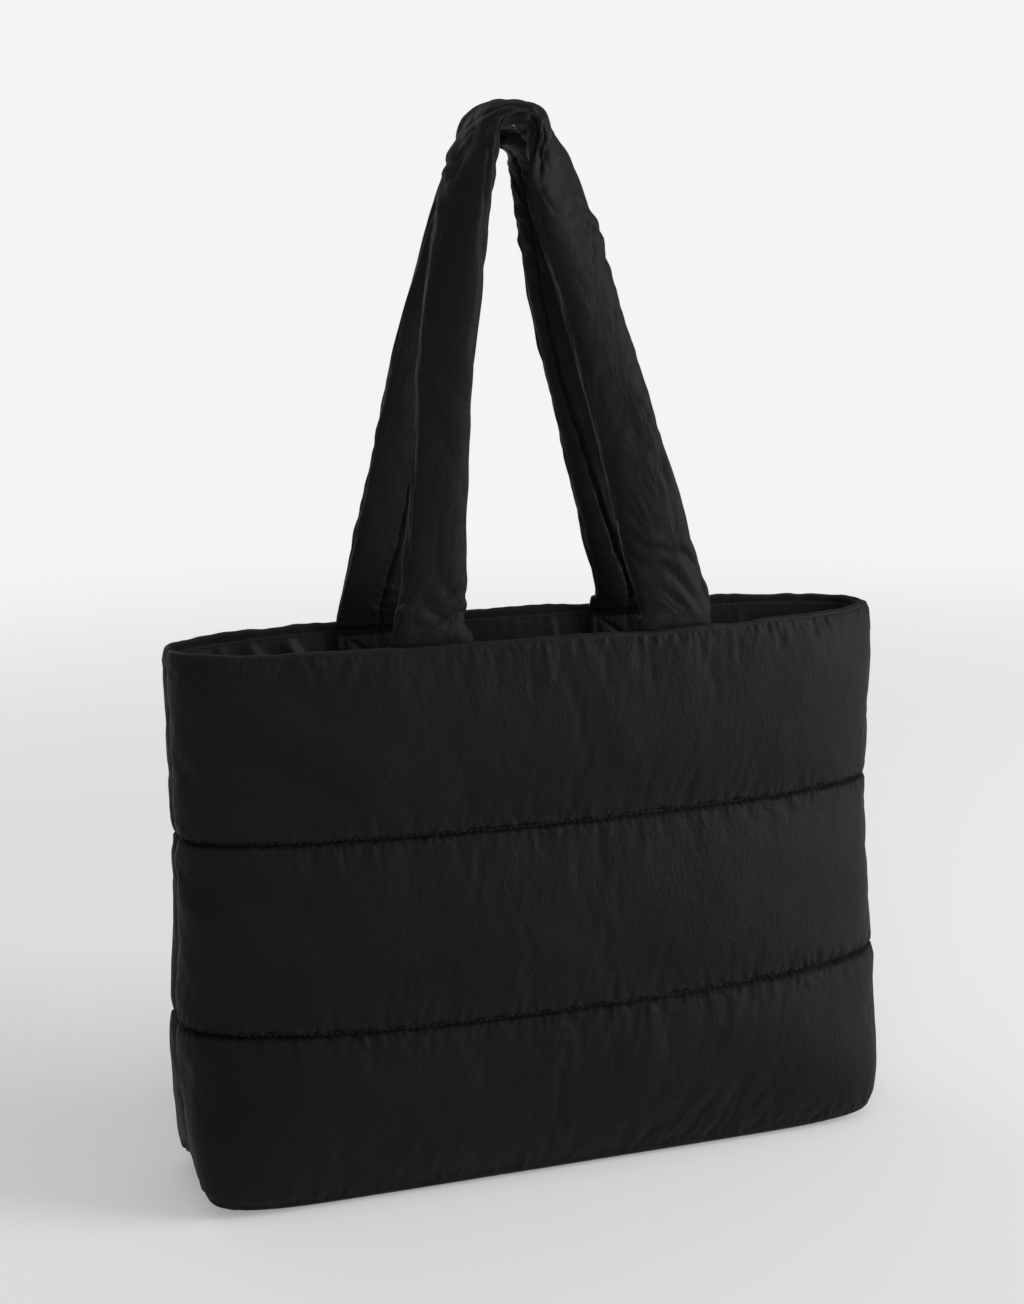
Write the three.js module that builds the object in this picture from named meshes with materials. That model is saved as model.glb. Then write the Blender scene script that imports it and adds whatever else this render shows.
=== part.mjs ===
// Puffer tote bag in millimetres, +Z up. It stands on z = 0, its opening faces up,
// its front faces -Y, and its centre lies over x = y = 0.
import * as THREE from "three";

// Driving dimensions of the body
const rimHeight = 340; // floor to the top edge
const rimWidth = 449; // side seam to side seam along the top edge
const rimDepth = 104; // front wall to back wall at the middle of the top edge
const bottomSeamHeight = 6; // floor to the seam between the walls and the base
const cornerLift = 17; // how far that seam climbs at the two ends of the bag
const lowerSeamDip = 2.5; // how far the lower quilting seam sags at mid front

// Driving dimensions of the padding and the cloth
const seamThickness = 2.4; // a wall where it is stitched through
const rimThickness = 6; // the folded top edge
const rimRounding = 2; // height of the rounding on the top edge
const channelPuff = 9.5; // how far the filling pushes a channel outward
const innerPuff = 5; // how far it pushes the channel inward
const sidePuffReach = 40; // distance from a side seam over which the padding swells
const liningThickness = 1.2;
const liningSlack = 0.7; // how far the lining stands off the filled channels below the top one
const baseThickness = 10;
const baseEdgeThickness = 2.4;
const pieceGap = 0.3; // clearance between neighbouring pieces
const floorClearance = 1; // lining floor above the padded base

// Driving dimensions of the handles
const handleSpacing = 160; // centre to centre of a handle's two ends along the rim
const handleRise = 306; // rim to the top of a handle's centre line
const handleWidth = 44;
const handleThickness = 18;
const handleEndLength = 40; // flattened end, sewn on below the rim
const handleEndWidth = 50;
const handleEndThickness = 6;

// Fineness of the faceted surfaces
const columns = 20; // facets along one wall
const outlineSamples = 400;
const endCrowding = 0.62; // how much closer the columns stand near the side seams
const handleSides = 12;
const handleSteps = 46;

// Outlines of the body from bottom to top. Level is a share of the wall's height,
// width and depth are shares of the rim's, and power squares the oval's corners.
const bodySections = [
  { level: 0, width: 0.985, depth: 0.95, power: 9 },
  { level: 0.15, width: 0.996, depth: 1.12, power: 4 },
  { level: 0.324, width: 1.017, depth: 1.2, power: 2.5 },
  { level: 0.5, width: 1.0, depth: 1.12, power: 2.3 },
  { level: 0.667, width: 1.002, depth: 0.98, power: 2.3 },
  { level: 0.85, width: 0.994, depth: 0.99, power: 2.35 },
  { level: 1, width: 1, depth: 1, power: 2.4 },
];

// Quilted channels between the sewn lines, from bottom to top. Sidepuff is the share of
// the padding's swelling that is left at the side seams, and lining lists the rows that
// the lining follows, from the top down.
const channels = [
  { name: "bottom", from: 0, to: 0.324, sidePuff: 0.6, lining: [0.8, 0.6, 0.4, 0.2, 0.07] },
  { name: "middle", from: 0.324, to: 0.667, sidePuff: 0.4, lining: [0.6, 0.4, 0] },
  { name: "top", from: 0.667, to: 1, sidePuff: 0.4, lining: [1, 0.93, 0.8, 0.6, 0.4, 0] },
];
const channelRows = [0, 0.07, 0.2, 0.4, 0.6, 0.8, 0.93];
const fullestLine = 0.5; // where a channel is fullest, as a share of its height
const pillowPower = 0.6; // low powers give a full pillow with steep sides
const endPower = 1.5; // how the bottom seam climbs towards the middle of a short end

// Rings of the base from its middle to its edge. Curl is the share of the edge's height
// above the floor, and body is the share of the base's thickness over its edge's.
const baseRings = [
  { reach: 0.4, curl: 0, body: 1 },
  { reach: 0.72, curl: 0, body: 1 },
  { reach: 0.84, curl: 0.1, body: 0.72 },
  { reach: 0.93, curl: 0.4, body: 0.15 },
  { reach: 1, curl: 1, body: 0 },
];

// Free part of the front handle, from its left end over the top to its right end. Across
// is a share of half the handle spacing, rise one of the handle's rise, and lean says how
// far it has left the wall for the middle. Turn is its twist in degrees, and broad and
// thick are shares of the handle's section.
const frontHandlePath = [
  { across: -0.985, rise: 0.04, lean: 0.02, turn: 3, broad: 1.04, thick: 0.78 },
  { across: -0.97, rise: 0.1, lean: 0.1, turn: 10, broad: 1.03, thick: 1 },
  { across: -0.905, rise: 0.325, lean: 0.34, turn: 26, broad: 0.95, thick: 1 },
  { across: -0.81, rise: 0.555, lean: 0.6, turn: 36, broad: 0.92, thick: 1 },
  { across: -0.64, rise: 0.82, lean: 0.9, turn: 57, broad: 0.88, thick: 0.92 },
  { across: -0.525, rise: 0.94, lean: 1, turn: 76, broad: 0.9, thick: 0.78 },
  { across: -0.4, rise: 0.988, lean: 1, turn: 86, broad: 0.9, thick: 0.64 },
  { across: -0.22, rise: 1, lean: 1, turn: 90, broad: 0.9, thick: 0.6 },
  { across: -0.05, rise: 0.982, lean: 1, turn: 84, broad: 0.9, thick: 0.7 },
  { across: 0.045, rise: 0.92, lean: 0.98, turn: 66, broad: 0.9, thick: 0.9 },
  { across: 0.115, rise: 0.84, lean: 0.9, turn: 46, broad: 0.92, thick: 1 },
  { across: 0.235, rise: 0.735, lean: 0.78, turn: 38, broad: 0.93, thick: 1 },
  { across: 0.43, rise: 0.545, lean: 0.58, turn: 26, broad: 0.96, thick: 1 },
  { across: 0.64, rise: 0.355, lean: 0.38, turn: 14, broad: 1, thick: 1 },
  { across: 0.85, rise: 0.155, lean: 0.17, turn: 6, broad: 1.04, thick: 1 },
  { across: 0.98, rise: 0.045, lean: 0.04, turn: 2, broad: 1.03, thick: 0.8 },
];

// Free part of the back handle, with the same columns. It hangs a little lower, and its
// left leg starts further out.
const backHandlePath = [
  { across: -1.12, rise: 0.04, lean: 0.02, turn: 3, broad: 1.02, thick: 0.78 },
  { across: -1.08, rise: 0.1, lean: 0.1, turn: 8, broad: 1, thick: 1 },
  { across: -0.955, rise: 0.26, lean: 0.28, turn: 18, broad: 0.97, thick: 1 },
  { across: -0.755, rise: 0.54, lean: 0.58, turn: 34, broad: 0.93, thick: 1 },
  { across: -0.48, rise: 0.84, lean: 0.9, turn: 56, broad: 0.9, thick: 0.9 },
  { across: -0.365, rise: 0.93, lean: 1, turn: 78, broad: 0.9, thick: 0.66 },
  { across: -0.26, rise: 0.957, lean: 1, turn: 86, broad: 0.9, thick: 0.54 },
  { across: -0.11, rise: 0.965, lean: 1, turn: 90, broad: 0.9, thick: 0.5 },
  { across: 0.05, rise: 0.945, lean: 1, turn: 84, broad: 0.9, thick: 0.6 },
  { across: 0.135, rise: 0.9, lean: 0.98, turn: 68, broad: 0.9, thick: 0.8 },
  { across: 0.215, rise: 0.835, lean: 0.9, turn: 52, broad: 0.9, thick: 0.95 },
  { across: 0.335, rise: 0.69, lean: 0.74, turn: 40, broad: 0.92, thick: 1 },
  { across: 0.5, rise: 0.525, lean: 0.56, turn: 28, broad: 0.94, thick: 1 },
  { across: 0.68, rise: 0.355, lean: 0.38, turn: 16, broad: 0.97, thick: 1 },
  { across: 0.87, rise: 0.155, lean: 0.17, turn: 6, broad: 1, thick: 1 },
  { across: 0.99, rise: 0.045, lean: 0.04, turn: 2, broad: 1.02, thick: 0.8 },
];

// Rounded section of a padded handle: 2 is an ellipse, higher is squarer
const handleSquareness = 2.4;
const handleRimClearance = 4; // how far above the rim a handle's end starts to swell

// Materials: a black nylon shell and a smoother black lining
const shellCloth = { color: 0x18191b, roughness: 0.62, metalness: 0 };
const liningCloth = { color: 0x131315, roughness: 0.5, metalness: 0 };

const mix = THREE.MathUtils.lerp;
const clamp = THREE.MathUtils.clamp;

function signedPower(value, power) {
  return Math.sign(value) * Math.abs(value) ** power;
}

// Smooth values between the rows of a table: each column is a cubic through its rows,
// placed by the column named key
function tableAt(rows, key, at) {
  const last = rows.length - 1;
  const index = clamp(rows.findIndex((row) => row[key] > at) - 1, 0, last - 1);
  const start = at >= rows[last][key] ? last - 1 : index;
  const [low, high] = [rows[start], rows[start + 1]];
  const before = rows[Math.max(start - 1, 0)];
  const after = rows[Math.min(start + 2, last)];
  const span = high[key] - low[key];
  const share = clamp((at - low[key]) / span, 0, 1);
  const blended = {};
  for (const column of Object.keys(low)) {
    const lowSlope = ((high[column] - before[column]) / (high[key] - before[key])) * span;
    const highSlope = ((after[column] - low[column]) / (after[key] - low[key])) * span;
    const square = share * share;
    const cube = square * share;
    blended[column] =
      (2 * cube - 3 * square + 1) * low[column] +
      (cube - 2 * square + share) * lowSlope +
      (3 * square - 2 * cube) * high[column] +
      (cube - square) * highSlope;
  }
  return blended;
}

// The oval of the body at one level, measured along the middle of its walls
function ovalAt(level) {
  const section = tableAt(bodySections, "level", level);
  return {
    halfWidth: (section.width * rimWidth) / 2,
    halfDepth: (section.depth * rimDepth) / 2,
    power: section.power,
  };
}

// Share of the corner lift at a place on the bottom seam: 1 at mid end, 0 on a long side
function climbAt(y, halfDepth) {
  return 1 - clamp(Math.abs(y / halfDepth), 0, 1) ** endPower;
}

// Half of an oval from the left side seam to the right one, as evenly walked spots that
// crowd towards the seams. Each spot has its outward direction and its distance to the
// nearer side seam.
function walkHalfOval(oval) {
  const trail = [];
  let length = 0;
  for (let i = 0; i <= outlineSamples; i++) {
    const angle = (Math.PI * i) / outlineSamples;
    const x = -oval.halfWidth * signedPower(Math.cos(angle), 2 / oval.power);
    const y = oval.halfDepth * signedPower(Math.sin(angle), 2 / oval.power);
    if (i > 0) {
      length += Math.hypot(x - trail[i - 1].x, y - trail[i - 1].y);
    }
    trail.push({ x, y, length });
  }
  const spots = [];
  for (let column = 0; column <= columns; column++) {
    const even = column / columns;
    const walked = length * (even - (endCrowding * Math.sin(2 * Math.PI * even)) / (2 * Math.PI));
    const next = clamp(trail.findIndex((spot) => spot.length > walked), 1, outlineSamples);
    const [a, b] = [trail[next - 1], trail[next]];
    const share = clamp((walked - a.length) / (b.length - a.length), 0, 1);
    const x = column === columns ? oval.halfWidth : mix(a.x, b.x, share);
    const y = column === columns ? 0 : mix(a.y, b.y, share);
    const slopeX = signedPower(x / oval.halfWidth, oval.power - 1) / oval.halfWidth;
    const slopeY = signedPower(y / oval.halfDepth, oval.power - 1) / oval.halfDepth;
    const steepness = Math.hypot(slopeX, slopeY);
    spots.push({
      x,
      y,
      outX: slopeX / steepness,
      outY: slopeY / steepness,
      seamDistance: Math.min(walked, length - walked),
      middle: Math.sin(Math.PI * even),
      climb: climbAt(y, oval.halfDepth),
    });
  }
  return spots;
}

// Rows of a quilted wall from the bottom seam to the rim. Pillow is 0 on a sewn line and
// 1 where a channel is fullest, and half is half the thickness without the filling.
const topChannel = channels[channels.length - 1];
function wallRow(channel, share) {
  const rimShare = channel === topChannel ? share : 0;
  return {
    level: mix(channel.from, channel.to, share),
    share,
    channel,
    pillow: Math.sin(Math.PI * share) ** pillowPower,
    half: mix(seamThickness, rimThickness, rimShare) / 2,
  };
}
const wallRows = channels.flatMap((channel) => channelRows.map((share) => wallRow(channel, share)));
wallRows.push(wallRow(topChannel, 1));

const wallTop = rimHeight - rimRounding;
const bottomSpots = walkHalfOval(ovalAt(0));

// Height of the base's sewn edge under a place with that share of the corner lift
function baseEdgeHeight(climb) {
  return bottomSeamHeight + cornerLift * climb - pieceGap - baseEdgeThickness;
}

// Height of a wall's point: the bottom seam climbs at the ends of the bag, and the lower
// quilting seam sags at mid front and mid back
function wallHeight(level, column) {
  const bottomSeam = bottomSeamHeight + cornerLift * bottomSpots[column].climb;
  const wallSpan = wallTop - bottomSeamHeight;
  const lowerSeam = channels[0].to;
  const dip = lowerSeamDip * bottomSpots[column].middle;
  const seamTop = bottomSeamHeight + lowerSeam * wallSpan;
  if (level <= lowerSeam) {
    return mix(bottomSeam, seamTop - dip, level / lowerSeam);
  }
  return mix(seamTop - dip, wallTop, (level - lowerSeam) / (1 - lowerSeam));
}

// Share of the swelling at a distance from the side seam
function swelling(channel, seamDistance) {
  const away = clamp(seamDistance / sidePuffReach, 0, 1);
  return mix(channel.sidePuff, 1, Math.sin((away * Math.PI) / 2));
}

// A point beside the middle of a wall. Push is positive outward, and shift moves the
// half body away from the plane of the side seams.
function besideWall(side, spot, push, shift, height) {
  const x = spot.x + spot.outX * push;
  const y = side * (shift + spot.y + spot.outY * push);
  return new THREE.Vector3(x, y, height);
}

// A closed solid through rings of points. Each ring has the same count of points, and
// each cell between two rings is split along its shorter diagonal. Fan caps close an end
// over its middle, and strip caps close a ring that runs out along one side and back along
// the other.
function solidThrough(rings, cap) {
  const count = rings[0].length;
  const points = rings.flat();
  const faces = [];
  for (let r = 0; r < rings.length - 1; r++) {
    for (let i = 0; i < count; i++) {
      const j = (i + 1) % count;
      const [a, b, c, d] = [r * count + i, r * count + j, (r + 1) * count + j, (r + 1) * count + i];
      const shorter = points[a].distanceTo(points[c]) < points[b].distanceTo(points[d]);
      faces.push(...(shorter ? [[a, b, c], [a, c, d]] : [[a, b, d], [b, c, d]]));
    }
  }
  const firstOfLast = (rings.length - 1) * count;
  for (const [first, flip] of [[0, true], [firstOfLast, false]]) {
    const capFaces = [];
    if (cap === "fan") {
      const middle = new THREE.Vector3();
      for (let i = 0; i < count; i++) {
        middle.addScaledVector(points[first + i], 1 / count);
        capFaces.push([first + i, first + ((i + 1) % count), points.length]);
      }
      points.push(middle);
    } else {
      for (let i = 0; i < count / 2 - 1; i++) {
        const [a, b] = [first + i, first + i + 1];
        const [c, d] = [first + count - 2 - i, first + count - 1 - i];
        capFaces.push([a, b, c], [a, c, d]);
      }
    }
    faces.push(...capFaces.map(([a, b, c]) => (flip ? [b, a, c] : [a, b, c])));
  }
  const outward = enclosedVolume(points, faces) > 0;
  const geometry = new THREE.BufferGeometry().setFromPoints(points);
  geometry.setIndex(faces.flatMap(([a, b, c]) => (outward ? [a, b, c] : [a, c, b])));
  geometry.computeVertexNormals();
  return geometry;
}

function enclosedVolume(points, faces) {
  const cross = new THREE.Vector3();
  let volume = 0;
  for (const [a, b, c] of faces) {
    cross.crossVectors(points[b], points[c]);
    volume += points[a].dot(cross) / 6;
  }
  return volume;
}

// One quilted wall: its outer and inner faces bulge between the sewn lines, pinch at them
// and end in a rounded rim
function wallGeometry(side) {
  const shift = pieceGap / 2;
  const ring = (level, half, pillow, channel, height) => {
    const spots = walkHalfOval(ovalAt(level));
    const face = (sign, puff) =>
      spots.map((spot, column) => {
        const swell = pillow * swelling(channel, spot.seamDistance);
        const z = height ?? wallHeight(level, column);
        return besideWall(side, spot, sign * (half + puff * swell), shift, z);
      });
    return [...face(1, channelPuff), ...face(-1, innerPuff).reverse()];
  };
  const rings = wallRows.map((row) => ring(row.level, row.half, row.pillow, row.channel));
  rings.push(ring(1, (rimThickness - rimRounding) / 2, 0, topChannel, rimHeight));
  return solidThrough(rings, "strip");
}

// Closed outline of the bottom seam, front half then back half, grown by push
function bottomOutline(push) {
  const loop = [];
  bottomSpots.slice(0, columns).forEach((spot) => loop.push({ side: -1, spot }));
  bottomSpots.slice(1).reverse().forEach((spot) => loop.push({ side: 1, spot }));
  return loop.map(({ side, spot }) => ({
    at: besideWall(side, spot, push, 0, 0),
    edgeHeight: baseEdgeHeight(spot.climb),
  }));
}

// The padded base: flat underneath, thin at its sewn edge, and curled up at the two ends
function baseGeometry() {
  const outline = bottomOutline(seamThickness / 2);
  const ring = (row, top) =>
    outline.map(({ at, edgeHeight }) => {
      const under = edgeHeight * row.curl;
      const z = under + (top ? mix(baseEdgeThickness, baseThickness, row.body) : 0);
      return new THREE.Vector3(at.x * row.reach, at.y * row.reach, z);
    });
  const underside = baseRings.map((row) => ring(row, false));
  const topside = baseRings.map((row) => ring(row, true)).reverse();
  return solidThrough([...underside, ...topside], "fan");
}

// Inset of the lining's outer face from the middle of the wall. Near the rim it follows
// the padding, and below the fullest line of the top channel it hangs straight.
function liningInset(row, spot) {
  const hangs = row.channel !== topChannel || row.share < fullestLine;
  const reach = innerPuff * (hangs ? 1 : row.pillow) * swelling(row.channel, spot.seamDistance);
  return row.half + reach + pieceGap + (hangs ? liningSlack : 0);
}

// Height of the base's upper face over a point of the bottom oval
function baseTopAt(x, y) {
  const oval = ovalAt(0);
  const [a, b] = [oval.halfWidth + seamThickness / 2, oval.halfDepth + seamThickness / 2];
  const reach = (Math.abs(x / a) ** oval.power + Math.abs(y / b) ** oval.power) ** (1 / oval.power);
  const row = tableAt(baseRings, "reach", clamp(reach, baseRings[0].reach, 1));
  const edge = baseEdgeHeight(climbAt(y / reach, b));
  return edge * row.curl + mix(baseEdgeThickness, baseThickness, row.body);
}

// The lining: an open bag inside the padded walls and base
const liningRows = [...channels]
  .reverse()
  .flatMap((channel) => channel.lining.map((share) => wallRow(channel, share)));
const liningFloorReach = [0.8, 0.55, 0.25];

function liningLoop(row, depth) {
  const spots = walkHalfOval(ovalAt(row.level));
  const point = (side, column) => {
    const inset = liningInset(row, spots[column]) + depth;
    return besideWall(side, spots[column], -inset, 0, wallHeight(row.level, column));
  };
  const loop = [];
  for (let column = 0; column < columns; column++) {
    loop.push(point(-1, column));
  }
  for (let column = columns; column > 0; column--) {
    loop.push(point(1, column));
  }
  return loop;
}

function liningFace(depth) {
  const rings = liningRows.map((row) => liningLoop(row, depth));
  const lowest = rings[rings.length - 1];
  for (const reach of liningFloorReach) {
    rings.push(
      lowest.map((point) => {
        const [x, y] = [point.x * reach, point.y * reach];
        return new THREE.Vector3(x, y, baseTopAt(x, y) + floorClearance + depth);
      }),
    );
  }
  return rings;
}

function liningGeometry() {
  const outside = liningFace(0);
  const inside = liningFace(liningThickness);
  return solidThrough([...outside.reverse(), ...inside], "fan");
}

// Depth of the lining's inner face at a place on a wall, measured from the middle plane
function liningDepthAt(x, z) {
  const level = clamp((z - bottomSeamHeight) / (wallTop - bottomSeamHeight), 0, 1);
  const oval = ovalAt(level);
  const depth = oval.halfDepth * (1 - Math.abs(x / oval.halfWidth) ** oval.power) ** (1 / oval.power);
  const share = clamp((level - topChannel.from) / (topChannel.to - topChannel.from), 0, 1);
  const { pillow, half } = wallRow(topChannel, share);
  const hangs = share < fullestLine;
  const inset = half + innerPuff * (hangs ? 1 : pillow) + (hangs ? liningSlack : 0);
  return depth - inset - pieceGap - liningThickness;
}

// Stations of a handle: a flattened end inside the wall, the free path, and the other end
function handleStations(path) {
  const ends = (row) => {
    const seat = { across: row.across, lean: 0, turn: 0, seated: 1 };
    return [
      { ...seat, below: handleEndLength },
      { ...seat, below: handleEndLength / 2 },
      { ...seat, below: 0 },
      { ...seat, below: -handleRimClearance },
    ];
  };
  const free = path.map((row) => ({ ...row, seated: 0 }));
  const stations = [...ends(path[0]), ...free, ...ends(path[path.length - 1]).reverse()];
  return stations.map((row, index) => {
    const risen = row.seated ? -row.below : row.rise * handleRise;
    const x = (row.across * handleSpacing) / 2;
    const z = (row.seated ? wallTop : rimHeight) + risen;
    const halfBroad = (row.seated ? handleEndWidth : row.broad * handleWidth) / 2;
    const halfThick = (row.seated ? handleEndThickness : row.thick * handleThickness) / 2;
    const seat = liningDepthAt(x, Math.min(z, wallTop)) - pieceGap;
    const apex = (handleWidth + pieceGap) / 2;
    const fromWall = seat - halfThick;
    const y = mix(fromWall, apex, row.lean);
    return { index, x, y, z, turn: row.turn, halfBroad, halfThick, seated: row.seated };
  });
}

// A padded handle: a flattened tube that turns edge on as it climbs to the top of its loop
function handleGeometry(side, path) {
  const stations = handleStations(path);
  const last = stations.length - 1;
  const at = (step) => tableAt(stations, "index", (last * step) / handleSteps);
  const rings = [];
  for (let step = 0; step <= handleSteps; step++) {
    const [here, before, after] = [at(step), at(Math.max(step - 1, 0)), at(Math.min(step + 1, handleSteps))];
    const centre = new THREE.Vector3(here.x, side * here.y, here.z);
    const along = new THREE.Vector3(after.x - before.x, side * (after.y - before.y), after.z - before.z);
    along.normalize();
    const outOfLoop = new THREE.Vector3(-along.z, 0, along.x).normalize();
    const turn = THREE.MathUtils.degToRad(here.turn);
    const facing = new THREE.Vector3(0, side * Math.cos(turn), 0).addScaledVector(outOfLoop, Math.sin(turn));
    facing.addScaledVector(along, -facing.dot(along)).normalize();
    const across = new THREE.Vector3().crossVectors(along, facing);
    const ring = [];
    for (let i = 0; i < handleSides; i++) {
      const angle = (2 * Math.PI * i) / handleSides;
      const broad = here.halfBroad * signedPower(Math.cos(angle), 2 / handleSquareness);
      const thick = here.halfThick * signedPower(Math.sin(angle), 2 / handleSquareness);
      const point = centre.clone().addScaledVector(across, broad).addScaledVector(facing, thick);
      const seatedDepth = liningDepthAt(point.x, Math.min(point.z, wallTop)) - pieceGap - here.halfThick;
      const seatedY = side * (seatedDepth + thick);
      point.y = mix(point.y, seatedY, clamp(here.seated, 0, 1));
      ring.push(point);
    }
    rings.push(ring);
  }
  return solidThrough(rings, "fan");
}

function namedMesh(name, geometry, cloth) {
  const mesh = new THREE.Mesh(geometry, new THREE.MeshStandardMaterial(cloth));
  mesh.name = name;
  return mesh;
}

const body = new THREE.Group();
body.add(namedMesh("front_panel", wallGeometry(-1), shellCloth));
body.add(namedMesh("back_panel", wallGeometry(1), shellCloth));
body.add(namedMesh("base_panel", baseGeometry(), shellCloth));
body.add(namedMesh("lining", liningGeometry(), liningCloth));

const handles = new THREE.Group();
handles.add(namedMesh("front_handle", handleGeometry(-1, frontHandlePath), shellCloth));
handles.add(namedMesh("back_handle", handleGeometry(1, backHandlePath), shellCloth));

const tote = new THREE.Group();
tote.add(body, handles);

export default tote;
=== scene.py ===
"""Puffer tote bag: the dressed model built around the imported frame.

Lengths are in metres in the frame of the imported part: +Z up, the bag standing on z = 0,
its front facing -Y and its centre over x = y = 0.
"""

from __future__ import annotations

import logging
import math
from dataclasses import dataclass
from enum import Enum
from typing import Mapping, Optional, Sequence, Union

import bmesh
import bpy
import numpy as np
from mathutils import Matrix, Vector

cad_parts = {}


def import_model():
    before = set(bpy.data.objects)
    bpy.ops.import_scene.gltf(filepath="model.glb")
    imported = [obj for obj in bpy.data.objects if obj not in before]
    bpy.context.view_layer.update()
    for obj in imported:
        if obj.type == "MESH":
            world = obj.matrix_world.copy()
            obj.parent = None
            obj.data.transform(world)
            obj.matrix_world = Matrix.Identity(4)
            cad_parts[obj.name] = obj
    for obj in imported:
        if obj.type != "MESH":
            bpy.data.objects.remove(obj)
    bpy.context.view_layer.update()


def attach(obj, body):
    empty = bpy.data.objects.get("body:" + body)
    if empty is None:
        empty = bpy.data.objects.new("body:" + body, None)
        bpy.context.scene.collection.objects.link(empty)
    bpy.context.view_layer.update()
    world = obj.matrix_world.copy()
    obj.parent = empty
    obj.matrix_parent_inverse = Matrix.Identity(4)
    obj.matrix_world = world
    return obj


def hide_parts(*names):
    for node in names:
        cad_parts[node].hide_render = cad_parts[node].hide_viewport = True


Array = np.ndarray
Row = tuple[float, ...]
log = logging.getLogger("tote")


# Small maths shared by the cloth pieces


def signed_power(value: Array, power: Union[float, Array]) -> Array:
    """A power that keeps the sign of its base."""
    return np.sign(value) * np.abs(value) ** power


def smooth_step(low: float, high: float, value: Array) -> Array:
    """0 below low, 1 above high and a smooth climb between them."""
    share = np.clip((value - low) / (high - low), 0, 1)
    return share * share * (3 - 2 * share)


def blend(low: Union[float, Array], high: Union[float, Array], share: Union[float, Array]) -> Array:
    """The value at a share of the way from low to high."""
    return low + (high - low) * share


def rows_at(rows: Sequence[Row], at: Array) -> Array:
    """Smooth values between the rows of a table.

    Args:
        rows: the rows, with the place of each in its first column.
        at: the places to read.

    Returns:
        All columns of the table at each place, on a cubic through the rows.
    """
    table = np.asarray(rows, float)
    keys, last = table[:, 0], len(table) - 1
    low = np.clip(np.searchsorted(keys, at, side="right") - 1, 0, last - 1)
    high, before, after = low + 1, np.maximum(low - 1, 0), np.minimum(low + 2, last)
    span = (keys[high] - keys[low])[..., None]
    share = np.clip((at - keys[low])[..., None] / span, 0, 1)
    low_slope = (table[high] - table[before]) / (keys[high] - keys[before])[..., None] * span
    high_slope = (table[after] - table[low]) / (keys[after] - keys[low])[..., None] * span
    square, cube = share**2, share**3
    return (
        (2 * cube - 3 * square + 1) * table[low]
        + (cube - 2 * square + share) * low_slope
        + (3 * square - 2 * cube) * table[high]
        + (cube - square) * high_slope
    )


def resampled(
    values: Array, rows: Array, columns: Array, at_rows: Array, at_columns: Array
) -> Array:
    """Smooth values between those of a coarser grid.

    Args:
        values: the coarse grid, as rows by columns by 3.
        rows: the place of each of its rows.
        columns: the place of each of its columns.
        at_rows: the places to read along the rows.
        at_columns: the places to read along the columns.

    Returns:
        The values at every pair of places, as rows by columns by 3.
    """
    tall = rows_at(np.column_stack([rows, values.reshape(len(rows), -1)]), at_rows)[:, 1:]
    turned = tall.reshape(len(at_rows), len(columns), -1).swapaxes(0, 1)
    wide = rows_at(np.column_stack([columns, turned.reshape(len(columns), -1)]), at_columns)[:, 1:]
    return wide.reshape(len(at_columns), len(at_rows), -1).swapaxes(0, 1)


def cloth_lengths(points: Array) -> Array:
    """How far each point of a cloth grid is along the cloth, across and up, in metres.

    Args:
        points: the grid, as rows by columns by 3.

    Returns:
        Rows by columns by 2, measured from the middle column and the first row.
    """
    across = np.zeros(points.shape[:2])
    up = np.zeros(points.shape[:2])
    across[:, 1:] = np.cumsum(np.linalg.norm(np.diff(points, axis=1), axis=-1), axis=1)
    up[1:] = np.cumsum(np.linalg.norm(np.diff(points, axis=0), axis=-1), axis=0)
    return np.stack([across - across[:, -1:] / 2, up], axis=-1)


class Crumple:
    """Seeded gradient noise over a plane, from about -1 to 1."""

    def __init__(self, seed: int) -> None:
        """Draws the noise's lattice from a seed."""
        draw = np.random.default_rng(seed)
        self.order = draw.permutation(256)
        angle = draw.uniform(0, 2 * math.pi, 256)
        self.slopes = np.stack([np.cos(angle), np.sin(angle)], axis=-1)

    def at(self, x: Array, y: Array) -> Array:
        """The noise at places given in cells of its lattice."""
        x, y = np.broadcast_arrays(np.asarray(x, float), np.asarray(y, float))
        cell_x, cell_y = np.floor(x).astype(int), np.floor(y).astype(int)
        in_x, in_y = x - cell_x, y - cell_y

        def corner(step_x: int, step_y: int) -> Array:
            slot = self.order[(self.order[(cell_x + step_x) & 255] + cell_y + step_y) & 255]
            slope = self.slopes[slot]
            return slope[..., 0] * (in_x - step_x) + slope[..., 1] * (in_y - step_y)

        ease_x = in_x**3 * (in_x * (in_x * 6 - 15) + 10)
        ease_y = in_y**3 * (in_y * (in_y * 6 - 15) + 10)
        low = blend(corner(0, 0), corner(1, 0), ease_x)
        high = blend(corner(0, 1), corner(1, 1), ease_x)
        return 1.5 * blend(low, high, ease_y)

    def creased(self, x: Array, y: Array) -> Array:
        """Rounded ridges parted by sharp valleys, from about -0.5 to 1."""
        return 2 * np.abs(self.at(x, y)) - 0.5


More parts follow.
